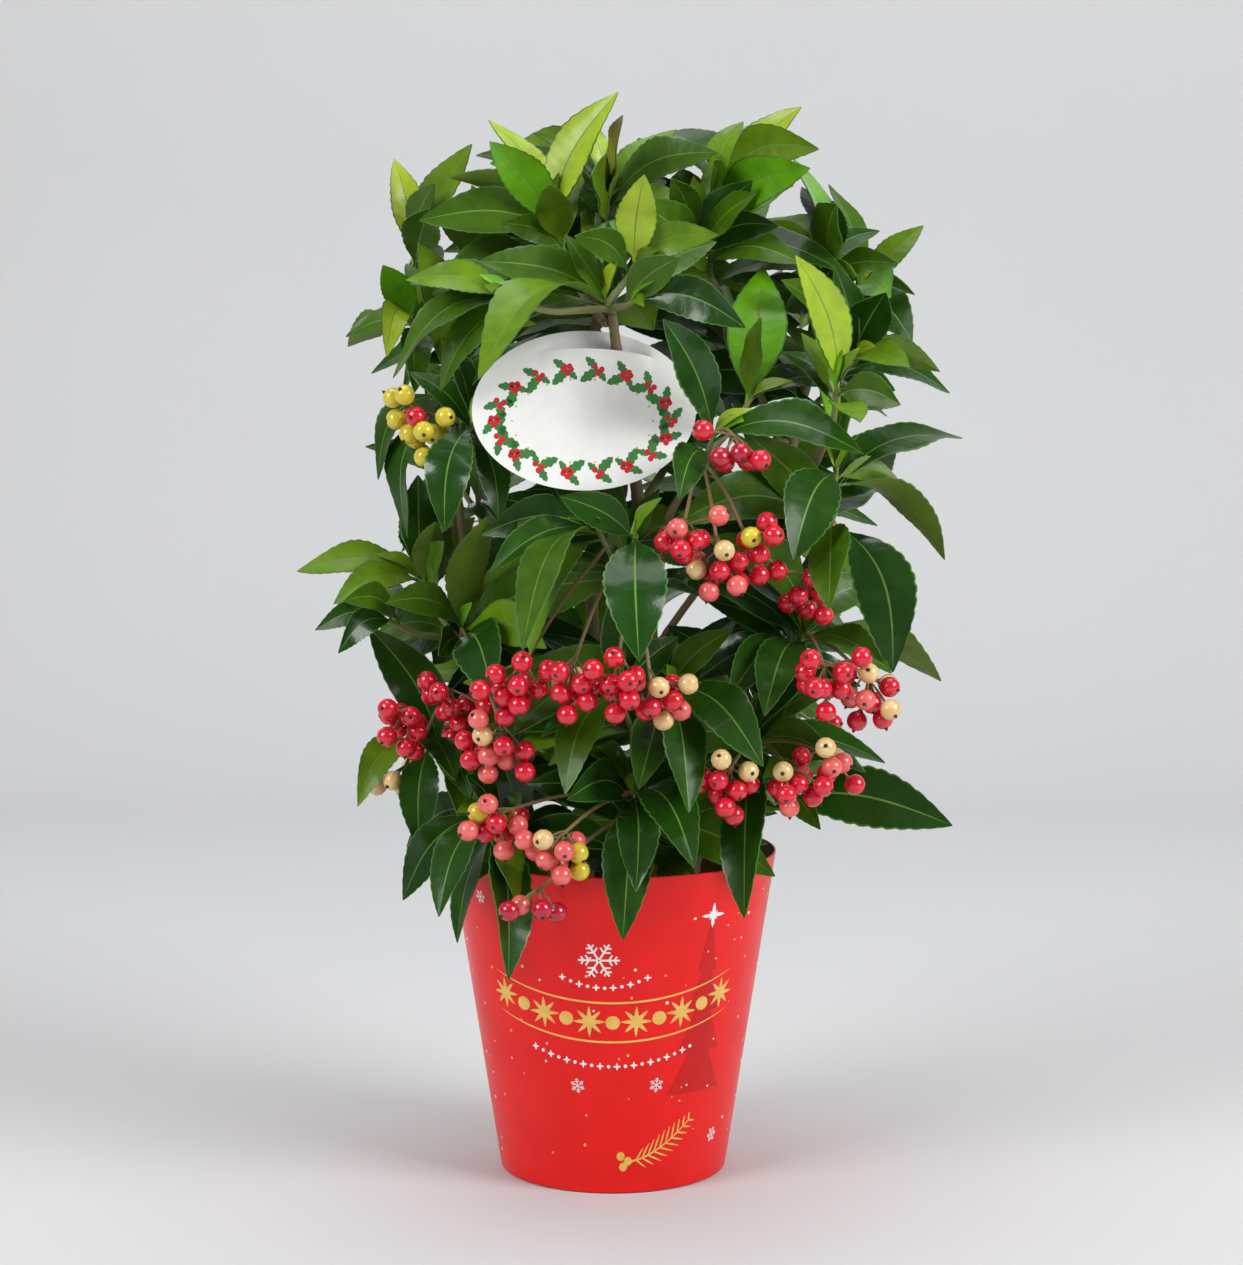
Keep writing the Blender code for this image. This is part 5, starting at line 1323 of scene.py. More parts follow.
    def grow_sprays(self) -> None:
        """Grow the finer leaves, which fill the crown evenly.

        A place is drawn at random in the crown, and a leaf reaches for it from a point on a
        shoot or limb that lies one leaf's length away. It is kept where it stays in the
        crown's outline, behind the fruit and tag, and touches nothing.
        """
        owners, places = self.bearing_points()
        grown = 0
        for _ in range(SPRAY_GOES):
            height = self.rng.uniform(OUTLINE_HEIGHTS[0], OUTLINE_HEIGHTS[-1])
            left, right, front = outline_at(height)
            across = self.rng.uniform(left, right)
            tip = np.array((across, self.rng.uniform(front, -SPRAY_BACK * front), height))
            gaps = np.linalg.norm(places - tip, axis=1)
            near = np.flatnonzero((gaps > SPRAY_LENGTH[0]) & (gaps < SPRAY_LENGTH[1])
                                  & (places[:, 2] < height + SPRAY_DROP))
            if not len(near):
                continue
            spot = int(near[self.rng.randrange(len(near))])
            show = LEAF_SLENDERNESS * gaps[spot] * self.rng.uniform(*SPRAY_SHOW)
            # Higher in the crown the tones are lighter: partly paler new growth, partly painted light on the
            # top of the crown.
            tones = SPRAY_TONES if height < YOUNG_AND_LIT_HEIGHT else SPRAY_TOP_TONES
            arch, tone = self.rng.uniform(*SPRAY_ARCH), Tone(self.rng.choice(tones))
            leaf = Leaf(places[spot], tip, show, arch, tone, SPRAY_ROWS)
            if self.inside_outline(leaf.plain()[0]) and self.try_leaf(owners[spot], leaf):
                grown += 1
        log.info("finer leaves: %d", grown)

    def bearing_points(self) -> tuple[list[str], np.ndarray]:
        """Return the points along every shoot and limb that finer leaves may grow from, with their masses."""
        owners: list[str] = []
        places = []
        bearers = [(owner, line) for owner, line, _ in self.hubs.values()]
        bearers += [(LIMB_MASSES[limb.name], self.lines[limb.name][0]) for limb in STEMS + BOUGHS]
        for owner, line in bearers:
            path = smooth_path(line, 4)
            path = path[path[:, 2] > BEARING_HEIGHT]
            owners += [owner] * len(path)
            places.append(path)
        return owners, np.vstack(places)

    def inside_outline(self, points: np.ndarray) -> bool:
        """Tell whether the points keep to the crown seen from the front, and behind its fruit and tag."""
        left, right, front = outline_at(points[:, 2])
        wide = np.all((points[:, 0] > left) & (points[:, 0] < right) & (points[:, 1] > front))
        return bool(wide) and self.inside_crown(points)

    def inside_crown(self, points: np.ndarray) -> bool:
        """Tell whether all the points lie within the crown's round envelope."""
        reach = np.hypot(points[:, 0] - CROWN_AXIS[0], points[:, 1] - CROWN_AXIS[1])
        room = np.interp(points[:, 2], CROWN_HEIGHTS, CROWN_RADII)
        return bool(np.all(reach < room) and points[:, 2].min() > CROWN_HEIGHTS[0])

    def grow_all(self) -> None:
        """Grow the whole plant in the source's order."""
        self.keep_made_things()
        self.grow_limbs()
        self.grow_twigs()
        self.grow_fruit()
        self.grow_leaves()
        self.grow_more_fruit()
        self.grow_sprays()
        log.info("grown: %d leaves, %d berries", sum(map(len, self.leaves.values())),
                 sum(map(len, self.berries.values())))


@dataclass
class Foliage:
    """The leaves, green twigs, fruit stalks and berries of every mass, joined by kind."""

    growth: Growth
    rng: random.Random
    twig_sides: int = 8
    twig_radii: tuple[float, float] = (0.86, 0.8)
    swelling: float = 0.12
    stalk_radii: tuple[float, float] = (0.85, 0.7)
    ray_radii: tuple[float, float] = (0.42, 0.52)
    ray_sag: float = 0.5
    stalk_sides: int = 7
    run_steps: int = 5

    def groups(self) -> dict[str, list[str]]:
        """Return the masses of each joined piece of leaves, by place."""
        return {
            "leaves_crown_left": ["crown_left", "crown_inner"],
            "leaves_crown_middle": ["fork", "crown_top"],
            "leaves_crown_right": ["crown_right", "crown_outer", "right_upper"],
            "leaves_upper_front": ["right_front", "front_right", "left_upper"],
            "leaves_left": ["left_side", "centre"],
            "leaves_right": ["right_mid", "right_low", "right_base"],
            "leaves_low_front": ["low_centre", "low_front"],
            "leaves_low_left": ["low_left", "low_left_side"],
            "leaves_back_upper": ["back_top", "back_upper_left", "back_upper_right"],
            "leaves_back_middle": ["back_mid_left", "back_mid_centre", "back_mid_right"],
            "leaves_back_low": ["back_low_left", "back_low_centre", "back_low_right", "back_foot_left",
                                "back_foot_right"],
        }

    def build_leaves(self) -> None:
        """Make the joined leaves, with a pair of small young leaves at each shoot's tip."""
        for piece, masses in self.groups().items():
            pile = Pile(piece, leaf_finishes())
            for name in masses:
                for leaf in self.growth.leaves[name]:
                    leaf.draw(pile, self.rng)
            for shoot, (owner, line, axis) in self.growth.hubs.items():
                if owner in masses:
                    for bud in self.buds(line, axis):
                        bud.draw(pile, self.rng)
            pile.build("foliage", masses, 60.0)

    def buds(self, line: np.ndarray, axis: np.ndarray) -> list[Leaf]:
        """Return the small young leaves at a shoot's tip, a golden angle apart."""
        level, beside = square_pair(axis)
        young = []
        for number in range(BUD_COUNT):
            turn = number * GOLDEN_ANGLE + self.rng.uniform(0, math.tau)
            lean = math.radians(self.rng.uniform(*BUD_LEAN))
            out = level * math.cos(turn) + beside * math.sin(turn)
            aim = axis * math.cos(lean) + out * math.sin(lean)
            length = self.rng.uniform(*BUD_LENGTH)
            tone = Tone(BUD_TONES[self.rng.randrange(len(BUD_TONES))])
            young.append(Leaf(line[-1] - axis, line[-1] + aim * length, BUD_SHOW, BUD_ARCH, tone, BUD_ROWS))
        return young

    def build_twigs(self) -> None:
        """Make the green twigs, smooth tubes through the same lines as the solids' twigs."""
        pile = Pile("green_twigs", [GREEN_TWIG])
        for runs in self.growth.twigs.values():
            for line, foot in runs:
                path = smooth_path(line, self.run_steps)
                radii = np.linspace(foot * self.twig_radii[0], TWIG_TIP * self.twig_radii[1], len(path))
                places = np.linspace(0, math.tau * len(path) / 6, len(path))
                pile.add(*ring_tube(path, radii * (1 + self.swelling * np.cos(places) ** 8), self.twig_sides))
        pile.build("bark")

    def build_fruit(self) -> None:
        """Make the fruit stalks with their rays, and the berries."""
        stalks = Pile("fruit_stalks", [STALK])
        fruit = Pile("berries", berry_finishes())
        for name, runs in self.growth.stalks.items():
            for spine, main in runs:
                path = smooth_path(spine, self.run_steps)
                if not main:
                    sag = np.sin(np.linspace(0, math.pi, len(path)))[:, None] * (0, 0, self.ray_sag)
                    path = path + sag
                radius = np.linspace(*(self.stalk_radii if main else self.ray_radii), len(path))
                stalks.add(*ring_tube(path, radius, self.stalk_sides))
            for berry in self.growth.berries[name]:
                berry.draw(fruit)
        stalks.build("bark")
        fruit.build("foliage", smooth=70.0)


@dataclass
class Bark:
    """The stems and boughs with the relief of their bark."""

    growth: Growth
    rng: random.Random
    sides: int = 18
    ring_step: float = 1.3
    ridge: float = 0.045
    rough: float = 0.018
    drift: float = 0.12
    scar_gap: float = 8.5
    scar_rise: float = 0.10
    scar_width: float = 0.7

    def build(self) -> None:
        """Make one piece of all the limbs.

        A limb's radius is its taper times one plus three waves round it that drift with
        height, plus a low ring at each old leaf scar.
        """
        pile = Pile("stems_and_boughs", [BARK])
        for limb in STEMS + BOUGHS:
            coarse, widths = self.growth.lines[limb.name]
            steps = max(2, int(np.linalg.norm(np.diff(coarse, axis=0), axis=1).sum()
                               / (len(coarse) - 1) / self.ring_step))
            path = smooth_path(coarse, steps)
            share = np.linspace(0, len(coarse) - 1, len(path))
            radii = np.interp(share, np.arange(len(coarse)), widths)
            travelled = np.concatenate([[0], np.cumsum(np.linalg.norm(np.diff(path, axis=0), axis=1))])
            turns = np.arange(self.sides) * math.tau / self.sides
            relief = np.zeros((len(path), self.sides))
            for waves in (3, 5, 8):
                drift = self.rng.uniform(-self.drift, self.drift) * travelled + self.rng.uniform(0, math.tau)
                relief += np.sin(waves * turns[None] + drift[:, None]) / waves
            rough = np.array([self.rng.uniform(-1, 1) for _ in range(relief.size)]).reshape(relief.shape)
            phase = (travelled + self.rng.uniform(0, self.scar_gap)) % self.scar_gap - self.scar_gap / 2
            scars = self.scar_rise * np.exp(-(phase / self.scar_width) ** 2)
            shape = 1 + self.ridge * relief + self.rough * rough + scars[:, None]
            pile.add(*ring_tube(path, radii[:, None] * shape, self.sides))
        pile.build("bark", [limb.name for limb in STEMS + BOUGHS], 60.0)


@dataclass
class CardCover:
    """The tapered card cover: its wall and floor, and its printed ornaments."""

    rng: random.Random
    sides: int = 128
    proud: float = 0.17
    sink: float = 0.12
    mean_radius: float = 57.0
    dot_count: int = 150
    flake_count: int = 10

    def radius(self, height: np.ndarray) -> np.ndarray:
        """Return the outer radius at a height: it grows evenly from the base to the rim."""
        return BASE_RADIUS + (RIM_RADIUS - BASE_RADIUS) * np.asarray(height, float) / COVER_HEIGHT

    def build_wall(self) -> None:
        """Make the wall and floor, an outline turned about the pot's axis."""
        low, inner = CARD_WALL, RIM_RADIUS - CARD_WALL
        outline = np.array([(BASE_RADIUS - 1.0, 0.0), (BASE_RADIUS, 0.5), *self.side_rows(),
                            (RIM_RADIUS, COVER_HEIGHT - 0.3), (RIM_RADIUS - 0.25, COVER_HEIGHT),
                            (inner + 0.2, COVER_HEIGHT), (inner, COVER_HEIGHT - 0.3),
                            (self.radius(low) - CARD_WALL, low)])
        turns = np.arange(self.sides) * math.tau / self.sides
        rings = np.stack([outline[:, :1] * np.cos(turns), outline[:, :1] * np.sin(turns),
                          np.repeat(outline[:, 1:], self.sides, axis=1)], axis=-1)
        points, faces = turned_solid(rings, 0.0, low)
        outside = (len(outline) - 3) * self.sides
        pile = Pile("card_cover", [CARD_RED, CARD_KRAFT])
        pile.add(points, faces, [0] * outside + [1] * (len(faces) - outside))
        pile.build("card", ["pot_cover"], 35.0)

    def side_rows(self) -> list[tuple[float, float]]:
        """Return the outline's points up the wall."""
        return [(float(self.radius(height)), height) for height in np.linspace(8, COVER_HEIGHT - 6, 12)]

    def wrap(self, across: np.ndarray, height: np.ndarray, out: float) -> np.ndarray:
        """Lay flat places on the cone.

        Args:
            across: Places to the right of the front, in millimetres round the mean radius.
            height: Heights in millimetres.
            out: How far out of the wall they lie.

        Returns:
            The points, in the arrays' own shape with three added.
        """
        turn = np.asarray(across, float) / self.mean_radius
        reach = self.radius(height) + out
        return np.stack([reach * np.sin(turn), -reach * np.cos(turn), np.asarray(height, float)], axis=-1)

    def lay(self, pile: Pile, grid: np.ndarray, finish: int, lift: float) -> None:
        """Print a grid of flat places, across and up, on the wall."""
        front = self.wrap(grid[..., 0], grid[..., 1], self.proud + lift)
        back = self.wrap(grid[..., 0], grid[..., 1], -self.sink)
        pile.add(*slab(front, back), finish)

    def strip(self, pile: Pile, spine: np.ndarray, width: np.ndarray, finish: int, lift: float = 0.0,
              rows: int = 2) -> None:
        """Print a strip along a flat line: its edges lie half the width to both sides of it.

        Args:
            pile: The pile that takes it.
            spine: The line's points, across and up.
            width: The strip's width at each point.
            finish: The place of its finish.
            lift: How far it lies over the other prints.
            rows: How many rows of points it has across, so that a wide one follows the wall.
        """
        along = np.gradient(spine, axis=0)
        along /= np.maximum(np.linalg.norm(along, axis=1, keepdims=True), 1e-9)
        normal = np.stack([-along[:, 1], along[:, 0]], axis=1) * np.asarray(width)[:, None] / 2
        self.lay(pile, spine + normal * np.linspace(-1, 1, rows)[:, None, None], finish, lift)

    def disc(self, pile: Pile, place: tuple[float, float], size: float, finish: int, points: int = 0,
             turn: float = 0.0, depth: float = 0.0, lift: float = 0.0) -> None:
        """Print a dot or a star: its radius is the size times one less the depth between its points."""
        turns = np.linspace(0, math.tau, 8 * points + 1 if points else 13)
        reach = size * (1 - depth * (0.5 - 0.5 * np.cos(points * (turns - turn))) ** 0.5)
        ring = np.stack([np.cos(turns), np.sin(turns)], axis=-1)
        rows = [place + reach[:, None] * share * ring for share in (1.0, 0.02)]
        self.lay(pile, np.stack(rows), finish, lift)

    def snowflake(self, pile: Pile, place: tuple[float, float], size: float, turn: float = 0.0) -> None:
        """Print a six-armed snowflake, each arm with two pairs of barbs."""
        for arm in range(6):
            angle = turn + arm * math.tau / 6
            reach = np.array((math.cos(angle), math.sin(angle)))
            centre = np.array(place)
            shaft = centre + np.array([[0.05], [0.5], [1.0]]) * reach * size
            self.strip(pile, shaft, [size * 0.10] * 3, 0)
            for share, barb in ((0.48, 0.32), (0.74, 0.24)):
                for lean in (math.pi / 3, -math.pi / 3):
                    way = np.array((math.cos(angle + lean), math.sin(angle + lean)))
                    start = centre + reach * size * share
                    self.strip(pile, start + np.array([[0.0], [0.5], [1.0]]) * way * size * barb,
                               [size * 0.085] * 3, 0, 0.01)

    def garland(self, pile: Pile, height: float, rise: float, half: float, middle: float, step: float,
                size: float, finish: int, points: int) -> None:
        """Print a row of stars and dots along an arc whose height grows with the square of across."""
        count = int(2 * half / step) + 1
        for number in range(count):
            across = -half + 2 * half * number / (count - 1)
            place = (middle + across, height + rise * (across / half) ** 2)
            big = number % 2 == 0
            self.disc(pile, place, size if big else size * 0.45, finish, points if big else 0,
                      math.pi / 2, 0.62)

    def side_print(self, pile: Pile, middle: float) -> None:
        """Print one side's ornaments round the place called middle."""
        self.snowflake(pile, (middle - 5.0, 99.0), 7.6)
        self.garland(pile, 87.5, 4.0, 16.0, middle - 3.0, 3.2, 1.5, 0, 4)
        arc = np.linspace(-1, 1, 41)
        sweep = np.stack([middle + arc * 50.0, 73.0 + 9.5 * arc ** 2], axis=-1)
        self.strip(pile, sweep + (0, 8.2), 0.8 * np.sqrt(1.001 - arc ** 2), 1)
        self.strip(pile, sweep - (0, 8.2), 0.8 * np.sqrt(1.001 - arc ** 2), 1)
        self.garland(pile, 73.0, 8.5, 46.0, middle, 9.2, 6.4, 1, 8)
        self.garland(pile, 54.5, 6.5, 33.0, middle, 3.4, 1.6, 0, 4)
        self.sprig(pile, middle + 8.0)
        self.tree(pile, middle + 38.0)

    def sprig(self, pile: Pile, start: float) -> None:
        """Print a gold fir sprig: needles lean off a rising arc on both sides, with dots at its foot."""
        t = np.linspace(0, 1, 31)
        spine = np.stack([start + 28.0 * t, 14.0 + 15.0 * t ** 1.6], axis=-1)
        self.strip(pile, spine, 0.9 - 0.5 * t, 1, 0.02)
        for number in range(3, 31, 3):
            way = math.atan2(*(spine[number] - spine[number - 1])[::-1])
            for lean in (0.8, -0.8):
                length = 6.0 * math.sin(math.pi * (0.2 + 0.72 * number / 31)) + 1.5
                aim = np.array((math.cos(way + lean), math.sin(way + lean)))
                needle = spine[number] + aim * length * np.array([[0.0], [0.5], [1.0]])
                self.strip(pile, needle, [0.45, 0.8, 0.2], 1, 0.03)
        for across, up in ((-1.0, 0.0), (-4.4, 2.2), (-3.2, -2.4)):
            self.disc(pile, (start + across, 14.0 + up), 1.9, 1, lift=0.04)

    def tree(self, pile: Pile, middle: float) -> None:
        """Print a shaded fir of four tiers with a white sparkle on top."""
        for tier in range(4):
            height = np.linspace(92.0 - 17.0 * tier, 112.0 - 17.0 * tier, 6)
            spine = np.stack([np.full(6, middle), height], axis=-1)
            width = np.linspace(9.0 + 6.5 * tier, 0.6 + 2.0 * tier, 6)
            self.strip(pile, spine, width, 2, 0.02 * tier - 0.1, 13)
        for turn in (0.0, math.pi / 4):
            self.disc(pile, (middle, 115.0), 5.2 if turn == 0 else 2.6, 0, 4, turn, 0.9, 0.02)

    def scatter(self, pile: Pile) -> None:
        """Print small gold and white dots, stars and snowflakes at random places all round."""
        for number in range(self.dot_count):
            place = (self.rng.uniform(-math.pi, math.pi) * self.mean_radius, self.rng.uniform(6, 126))
            size = self.rng.uniform(0.25, 0.7)
            self.disc(pile, place, size, number % 2, 4 if number % 5 == 0 else 0, 0.0, 0.6)
        for number in range(self.flake_count):
            place = (-160.0 + 36.0 * number + self.rng.uniform(-8, 8), self.rng.choice((20.0, 46.0, 120.0)))
            self.snowflake(pile, place, self.rng.uniform(2.2, 3.6), self.rng.uniform(0, 1))

    def build(self) -> None:
        """Make the cover and its print."""
        self.build_wall()
        pile = Pile("printed_ornaments", [PRINT_WHITE, PRINT_GOLD, PRINT_SHADE])
        for middle in (0.0, math.pi * self.mean_radius):
            self.side_print(pile, middle)
        self.scatter(pile)
        pile.build("card", smooth=30.0)


@dataclass
class RootBall:
    """The peat in the pot: a turned ball with a crumbly top, and loose crumbs on it."""

    rng: random.Random
    sides: int = 96
    rings: int = 34
    rough: float = 1.1
    waves: int = 26
    settled: float = 0.8
    crumbs: int = 260

    def build(self) -> None:
        """Make the ball and the crumbs.

        The top's height is the soil level plus sums of sines of the place, less at the wall.
        """
        cover = CardCover(self.rng)
        gap = CARD_WALL + SEAT_GAP
        turns = np.arange(self.sides) * math.tau / self.sides
        top_radius = float(cover.radius(SOIL_TOP)) - gap
        reach = top_radius * np.linspace(1, 0.01, self.rings)[:, None]
        x, y = reach * np.cos(turns), reach * np.sin(turns)
        lumps = np.zeros_like(x)
        for _ in range(self.waves):
            angle, wave = self.rng.uniform(0, math.tau), self.rng.uniform(0.15, 1.3)
            along = x * math.cos(angle) + y * math.sin(angle)
            lumps += np.sin(wave * along + self.rng.uniform(0, math.tau)) / 5
        fade = 1 - (reach / top_radius) ** 8
        z = SOIL_TOP - self.settled + self.rough * lumps * fade
        foot = float(cover.radius(gap)) - gap
        base = np.stack([foot * np.cos(turns), foot * np.sin(turns), np.full(self.sides, gap)], axis=-1)
        rings = np.concatenate([base[None], np.stack([x, y, z], axis=-1)])
        pile = Pile("root_ball", [PEAT])
        pile.add(*turned_solid(rings, gap, SOIL_TOP - self.settled))
        pile.build("soil", ["soil"], 50.0)
        self.build_crumbs(top_radius)

    def build_crumbs(self, top_radius: float) -> None:
        """Strew crumbs of peat and fibre: small tubes of uneven radius on the soil."""
        pile = Pile("peat_crumbs", [PEAT_CRUMB, PEAT])
        for number in range(self.crumbs):
            turn = number * GOLDEN_ANGLE
            reach = (top_radius - 2.5) * math.sqrt((number + 0.5) / self.crumbs)
            place = np.array((reach * math.cos(turn), reach * math.sin(turn), SOIL_TOP - 0.4))
            way = np.array([self.rng.uniform(-most, most) for most in (1, 1, 0.25)])
            size = self.rng.uniform(0.5, 1.5)
            way = unit(way) * size * self.rng.uniform(0.7, 2.0)
            path = place + way * np.array([[-1.0], [-0.4], [0.4], [1.0]])
            radii = size * np.array((0.35, 0.9, 0.8, 0.3)) * self.rng.uniform(0.7, 1.0)
            pile.add(*ring_tube(path, radii, 5), number % 2)
        pile.build("soil", smooth=None)


@dataclass
class OvalTag:
    """The oval card tag on the middle stem, with a bare middle inside a holly ring."""

    columns: int = 64
    rows: int = 36
    slit_row: int = 32
    slit_columns: tuple[int, int] = (16, 56)
    sprigs: int = 18
    ring_half: tuple[float, float] = (34.0, 20.0)

    def place(self, across: np.ndarray, rise: np.ndarray) -> tuple[np.ndarray, np.ndarray]:
        """Map a square from -1 to 1 on to the oval.

        X is the half width times across times the root of one less half the rise squared,
        and Z likewise.
        """
        x = TAG_CENTRE[0] + TAG_HALF[0] * across * np.sqrt(1 - rise ** 2 / 2)
        z = TAG_CENTRE[1] + TAG_HALF[1] * rise * np.sqrt(1 - across ** 2 / 2)
        return x, z

    def slit(self) -> tuple[float, float, float]:
        """Return the slit's height and the X of its two ends."""
        rise = np.float64(2 * self.slit_row / self.rows - 1)
        height = self.place(np.float64(0.0), rise)[1]
        ends = [self.place(np.float64(2 * column / self.columns - 1), rise)[0]
                for column in self.slit_columns]
        return float(height), float(ends[0]), float(ends[1])

    def depth(self, x: np.ndarray, z: np.ndarray, side: int) -> np.ndarray:
        """Return how far back the card lies: a leaning plane whose lips part near the stem.

        Args:
            x: Places across.
            z: Heights.
            side: 1 for the card above the slit and -1 for the card below it.

        Returns:
            The depth of the card's middle.
        """
        height, left, right = self.slit()
        plane = TAG_PLANE_Y + TAG_LEAN * (z - height)
        reach = np.where(x > TAG_STEM_X, right - TAG_STEM_X, TAG_STEM_X - left)
        near = np.clip(1.35 * (1 - np.abs(x - TAG_STEM_X) / reach), 0, 1)
        fade = 1.0 if side > 0 else np.exp(-((height - z) / TAG_LIP_FADE) ** 2)
        return plane + side * TAG_LIP * np.sin(near * math.pi / 2) ** 1.2 * fade

    def sheet(self, pile: Pile, first: int, last: int, side: int) -> None:
        """Add the card between two rows of its grid."""
        across, rise = np.meshgrid(np.linspace(-1, 1, self.columns + 1),
                                   2 * np.arange(first, last + 1) / self.rows - 1)
        x, z = self.place(across, rise)
        y = self.depth(x, z, side)
        half = TAG_THICKNESS / 2
        front, back = np.stack([x, y - half, z], axis=-1), np.stack([x, y + half, z], axis=-1)
        points, faces = slab(front, back)
        flat = 2 * (last - first) * self.columns
        pile.add(points, faces, [0] * flat + [1] * (len(faces) - flat))

    def lay(self, pile: Pile, rows: np.ndarray, finish: int, lift: float = 0.06) -> None:
        """Print a grid of flat places, X and Z, on the front of the card below the slit."""
        x, z = rows[..., 0], rows[..., 1]
        y = self.depth(x, z, -1) - TAG_THICKNESS / 2
        front, back = np.stack([x, y - lift, z], axis=-1), np.stack([x, y + 0.1, z], axis=-1)
        pile.add(*slab(front, back), finish)

    def holly_leaf(self, pile: Pile, root: np.ndarray, angle: float, length: float) -> None:
        """Print a holly leaf: its half width is a sine along it with three spines a side."""
        t = np.linspace(0, 1, 19)
        half = 0.26 * length * np.sin(math.pi * np.clip(t, 0.02, 0.99)) ** 0.7
        half = half * (0.62 + 0.38 * np.abs(np.cos(3.5 * math.pi * t)))
        way = np.array((math.cos(angle), math.sin(angle)))
        beside = np.array((-math.sin(angle), math.cos(angle)))
        spine = root + way * t[:, None] * length
        self.lay(pile, np.stack([spine - beside * half[:, None], spine + beside * half[:, None]]), 0)

    def dot(self, pile: Pile, place: np.ndarray, size: float, finish: int) -> None:
        """Print a round dot."""
        turns = np.linspace(0, math.tau, 15)
        ring = np.stack([np.cos(turns), np.sin(turns)], axis=-1)
        self.lay(pile, np.stack([place + ring * size, place + ring * size * 0.05]), finish, 0.09)

    def build(self) -> None:
        """Make the card and its holly ring."""
        card = Pile("oval_tag", [TAG_CARD, TAG_EDGE])
        self.sheet(card, 0, self.slit_row, -1)
        self.sheet(card, self.slit_row, self.rows, 1)
        card.build("tag", ["tag"], 30.0)
        ring = Pile("tag_holly_ring", [PRINT_GREEN, PRINT_RED, PRINT_GOLD])
        centre = np.array((TAG_CENTRE[0] - 0.5, TAG_CENTRE[1] - 4.0))
        for number in range(self.sprigs):
            turn = number * math.tau / self.sprigs
            wide, high = self.ring_half
            place = centre + np.array((wide * math.cos(turn), high * math.sin(turn)))
            heading = math.atan2(high * math.cos(turn), -wide * math.sin(turn))
            self.holly_leaf(ring, place, heading + 0.7, 8.2)
            self.holly_leaf(ring, place, heading - 0.7, 6.6)
            self.holly_leaf(ring, place, heading + math.pi - 0.9, 5.4)
            for berry in range(5 if number % 2 else 3):
                shift = 1.5 * np.array((math.cos(berry * GOLDEN_ANGLE), math.sin(berry * GOLDEN_ANGLE)))
                self.dot(ring, place + shift, 1.1, 1)
            self.dot(ring, place * 0.8 + centre * 0.2, 0.45, 2)
        ring.build("tag", smooth=30.0)


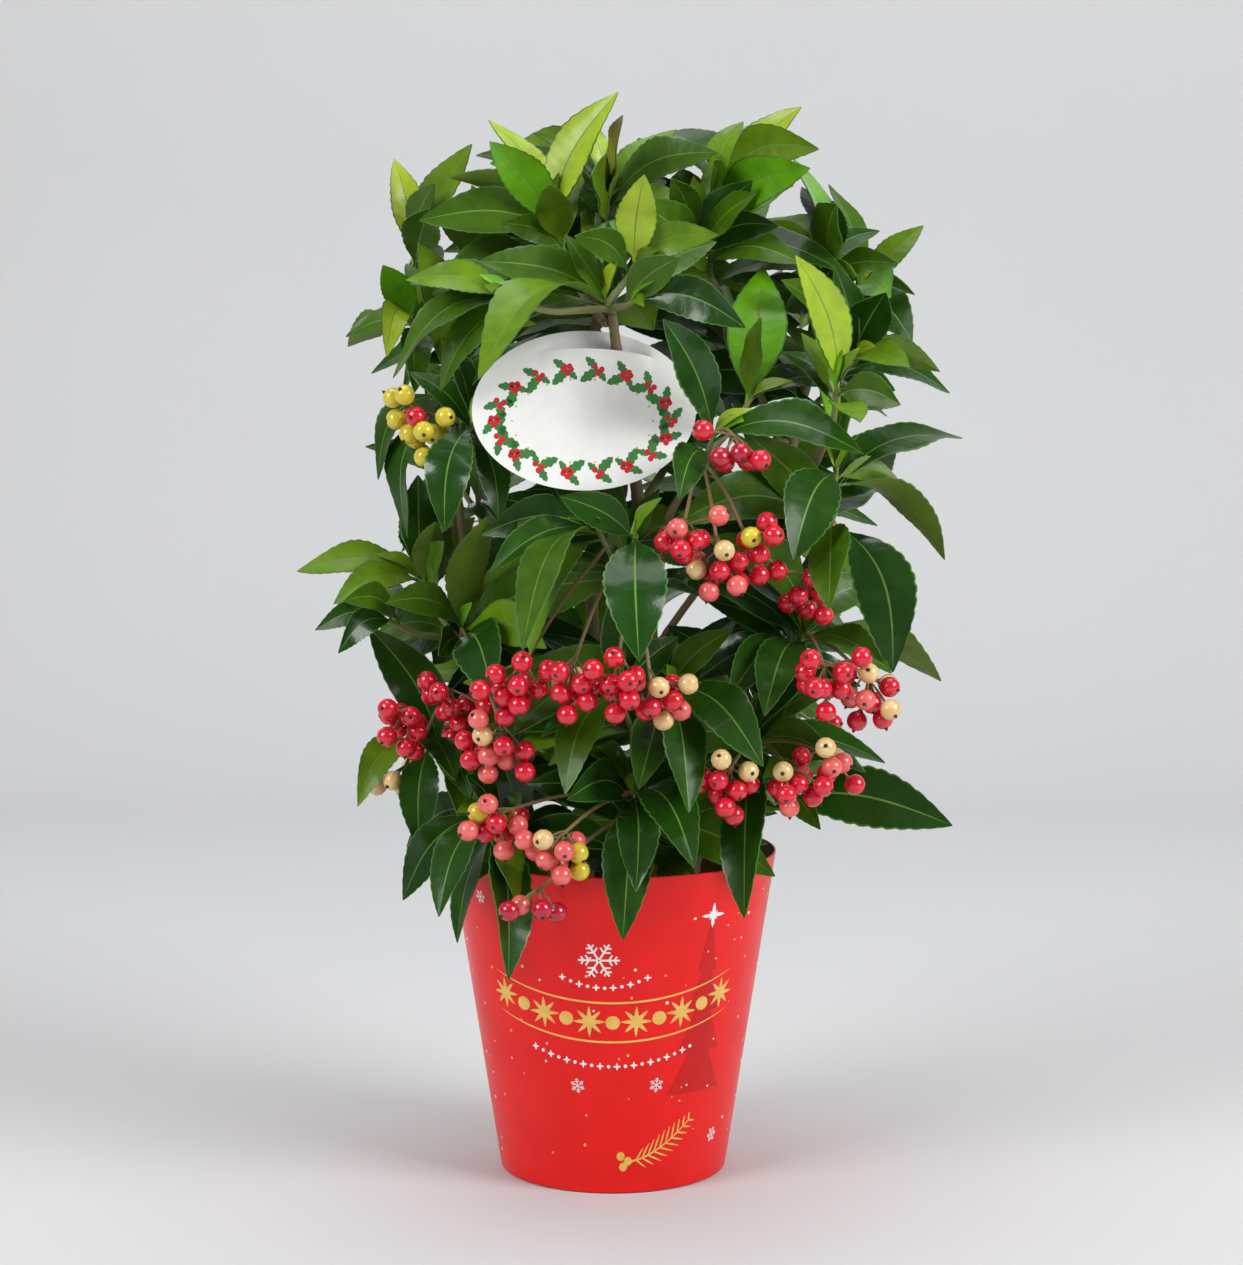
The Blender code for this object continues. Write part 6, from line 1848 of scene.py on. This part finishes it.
@dataclass
class Studio:
    """The pale floor that sweeps up behind, the soft lights and the camera of the photo."""

    lens: float = 80.7
    camera_place: tuple[float, float, float] = (3.48, -1162.0, 339.0)
    camera_tilt: float = 84.29
    floor_half: float = 3000.0
    floor_back: float = 900.0
    sweep_radius: float = 500.0
    sweep_height: float = 2600.0
    columns: int = 9
    surroundings: tuple[float, float, float, float] = (0.93, 0.93, 0.92, 1.0)
    surroundings_strength: float = 0.235
    light_aim: tuple[float, float, float] = (0, 0, 0.24)

    def build_floor(self) -> None:
        """Make the sweep: a flat floor, a quarter circle and an upright, drawn from side to side."""
        turns = np.linspace(0, math.pi / 2, 25)
        bend = np.stack([self.floor_back + self.sweep_radius * np.sin(turns),
                         self.sweep_radius * (1 - np.cos(turns))], axis=-1)
        line = np.vstack([[(-self.floor_half, 0.0)], bend, [(bend[-1, 0], self.sweep_height)]])
        across = np.linspace(-self.floor_half, self.floor_half, self.columns)
        shape = (len(line), self.columns)
        grid = np.stack([np.broadcast_to(across, shape), np.broadcast_to(line[:, :1], shape),
                         np.broadcast_to(line[:, 1:] - 0.05, shape)], axis=-1)
        quads = grid_quads(np.arange(len(line) * self.columns).reshape(shape))
        mesh = bpy.data.meshes.new("studio_floor")
        mesh.from_pydata((grid.reshape(-1, 3) * MM).tolist(), [], quads.tolist())
        mesh.materials.append(FLOOR.make())
        mesh.shade_smooth()
        floor = bpy.data.objects.new("studio_floor", mesh)
        bpy.context.scene.collection.objects.link(floor)

    def add_light(self, name: str, place: tuple[float, float, float], size: float, watts: float) -> None:
        """Add a soft square light that faces the plant."""
        data = bpy.data.lights.new(name, "AREA")
        data.shape = "SQUARE"
        data.size = size
        data.energy = watts
        lamp = bpy.data.objects.new(name, data)
        lamp.location = Vector(place)
        aim = Vector(self.light_aim) - Vector(place)
        lamp.rotation_euler = aim.to_track_quat("-Z", "Y").to_euler()
        bpy.context.scene.collection.objects.link(lamp)

    def build(self) -> None:
        """Make the floor, the lights, the pale surroundings and the camera."""
        self.build_floor()
        self.add_light("left_softbox", (-1.5, -1.2, 1.3), 1.0, 29.0)
        self.add_light("right_softbox", (1.6, -1.0, 1.2), 1.0, 36.0)
        self.add_light("top_softbox", (0.0, 0.1, 2.0), 1.4, 17.0)
        world = bpy.data.worlds.new("studio_surroundings")
        world.use_nodes = True
        backdrop = world.node_tree.nodes["Background"]
        backdrop.inputs["Color"].default_value = self.surroundings
        backdrop.inputs["Strength"].default_value = self.surroundings_strength
        bpy.context.scene.world = world
        bpy.context.scene.view_settings.view_transform = "Standard"
        lens = bpy.data.cameras.new("photo_camera")
        lens.lens = self.lens
        lens.sensor_width = 36.0
        lens.clip_end = 20.0
        camera = bpy.data.objects.new("photo_camera", lens)
        camera.location = Vector(self.camera_place) * MM
        camera.rotation_euler = (math.radians(self.camera_tilt), 0.0, 0.0)
        bpy.context.scene.collection.objects.link(camera)
        bpy.context.scene.camera = camera


def write_sizes() -> None:
    """Bring the view layer up to date."""
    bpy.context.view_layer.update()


def main() -> None:
    """Build the studio, the pot, the tag and the plant in order."""
    logging.basicConfig(level=logging.INFO, format="%(message)s")
    Studio().build()
    CardCover(random.Random(3)).build()
    RootBall(random.Random(5)).build()
    OvalTag().build()
    growth = Growth(random.Random(SEED))
    growth.grow_all()
    Bark(growth, random.Random(7)).build()
    foliage = Foliage(growth, random.Random(11))
    foliage.build_twigs()
    foliage.build_fruit()
    foliage.build_leaves()
    write_sizes()


if __name__ == "__main__":
    main()
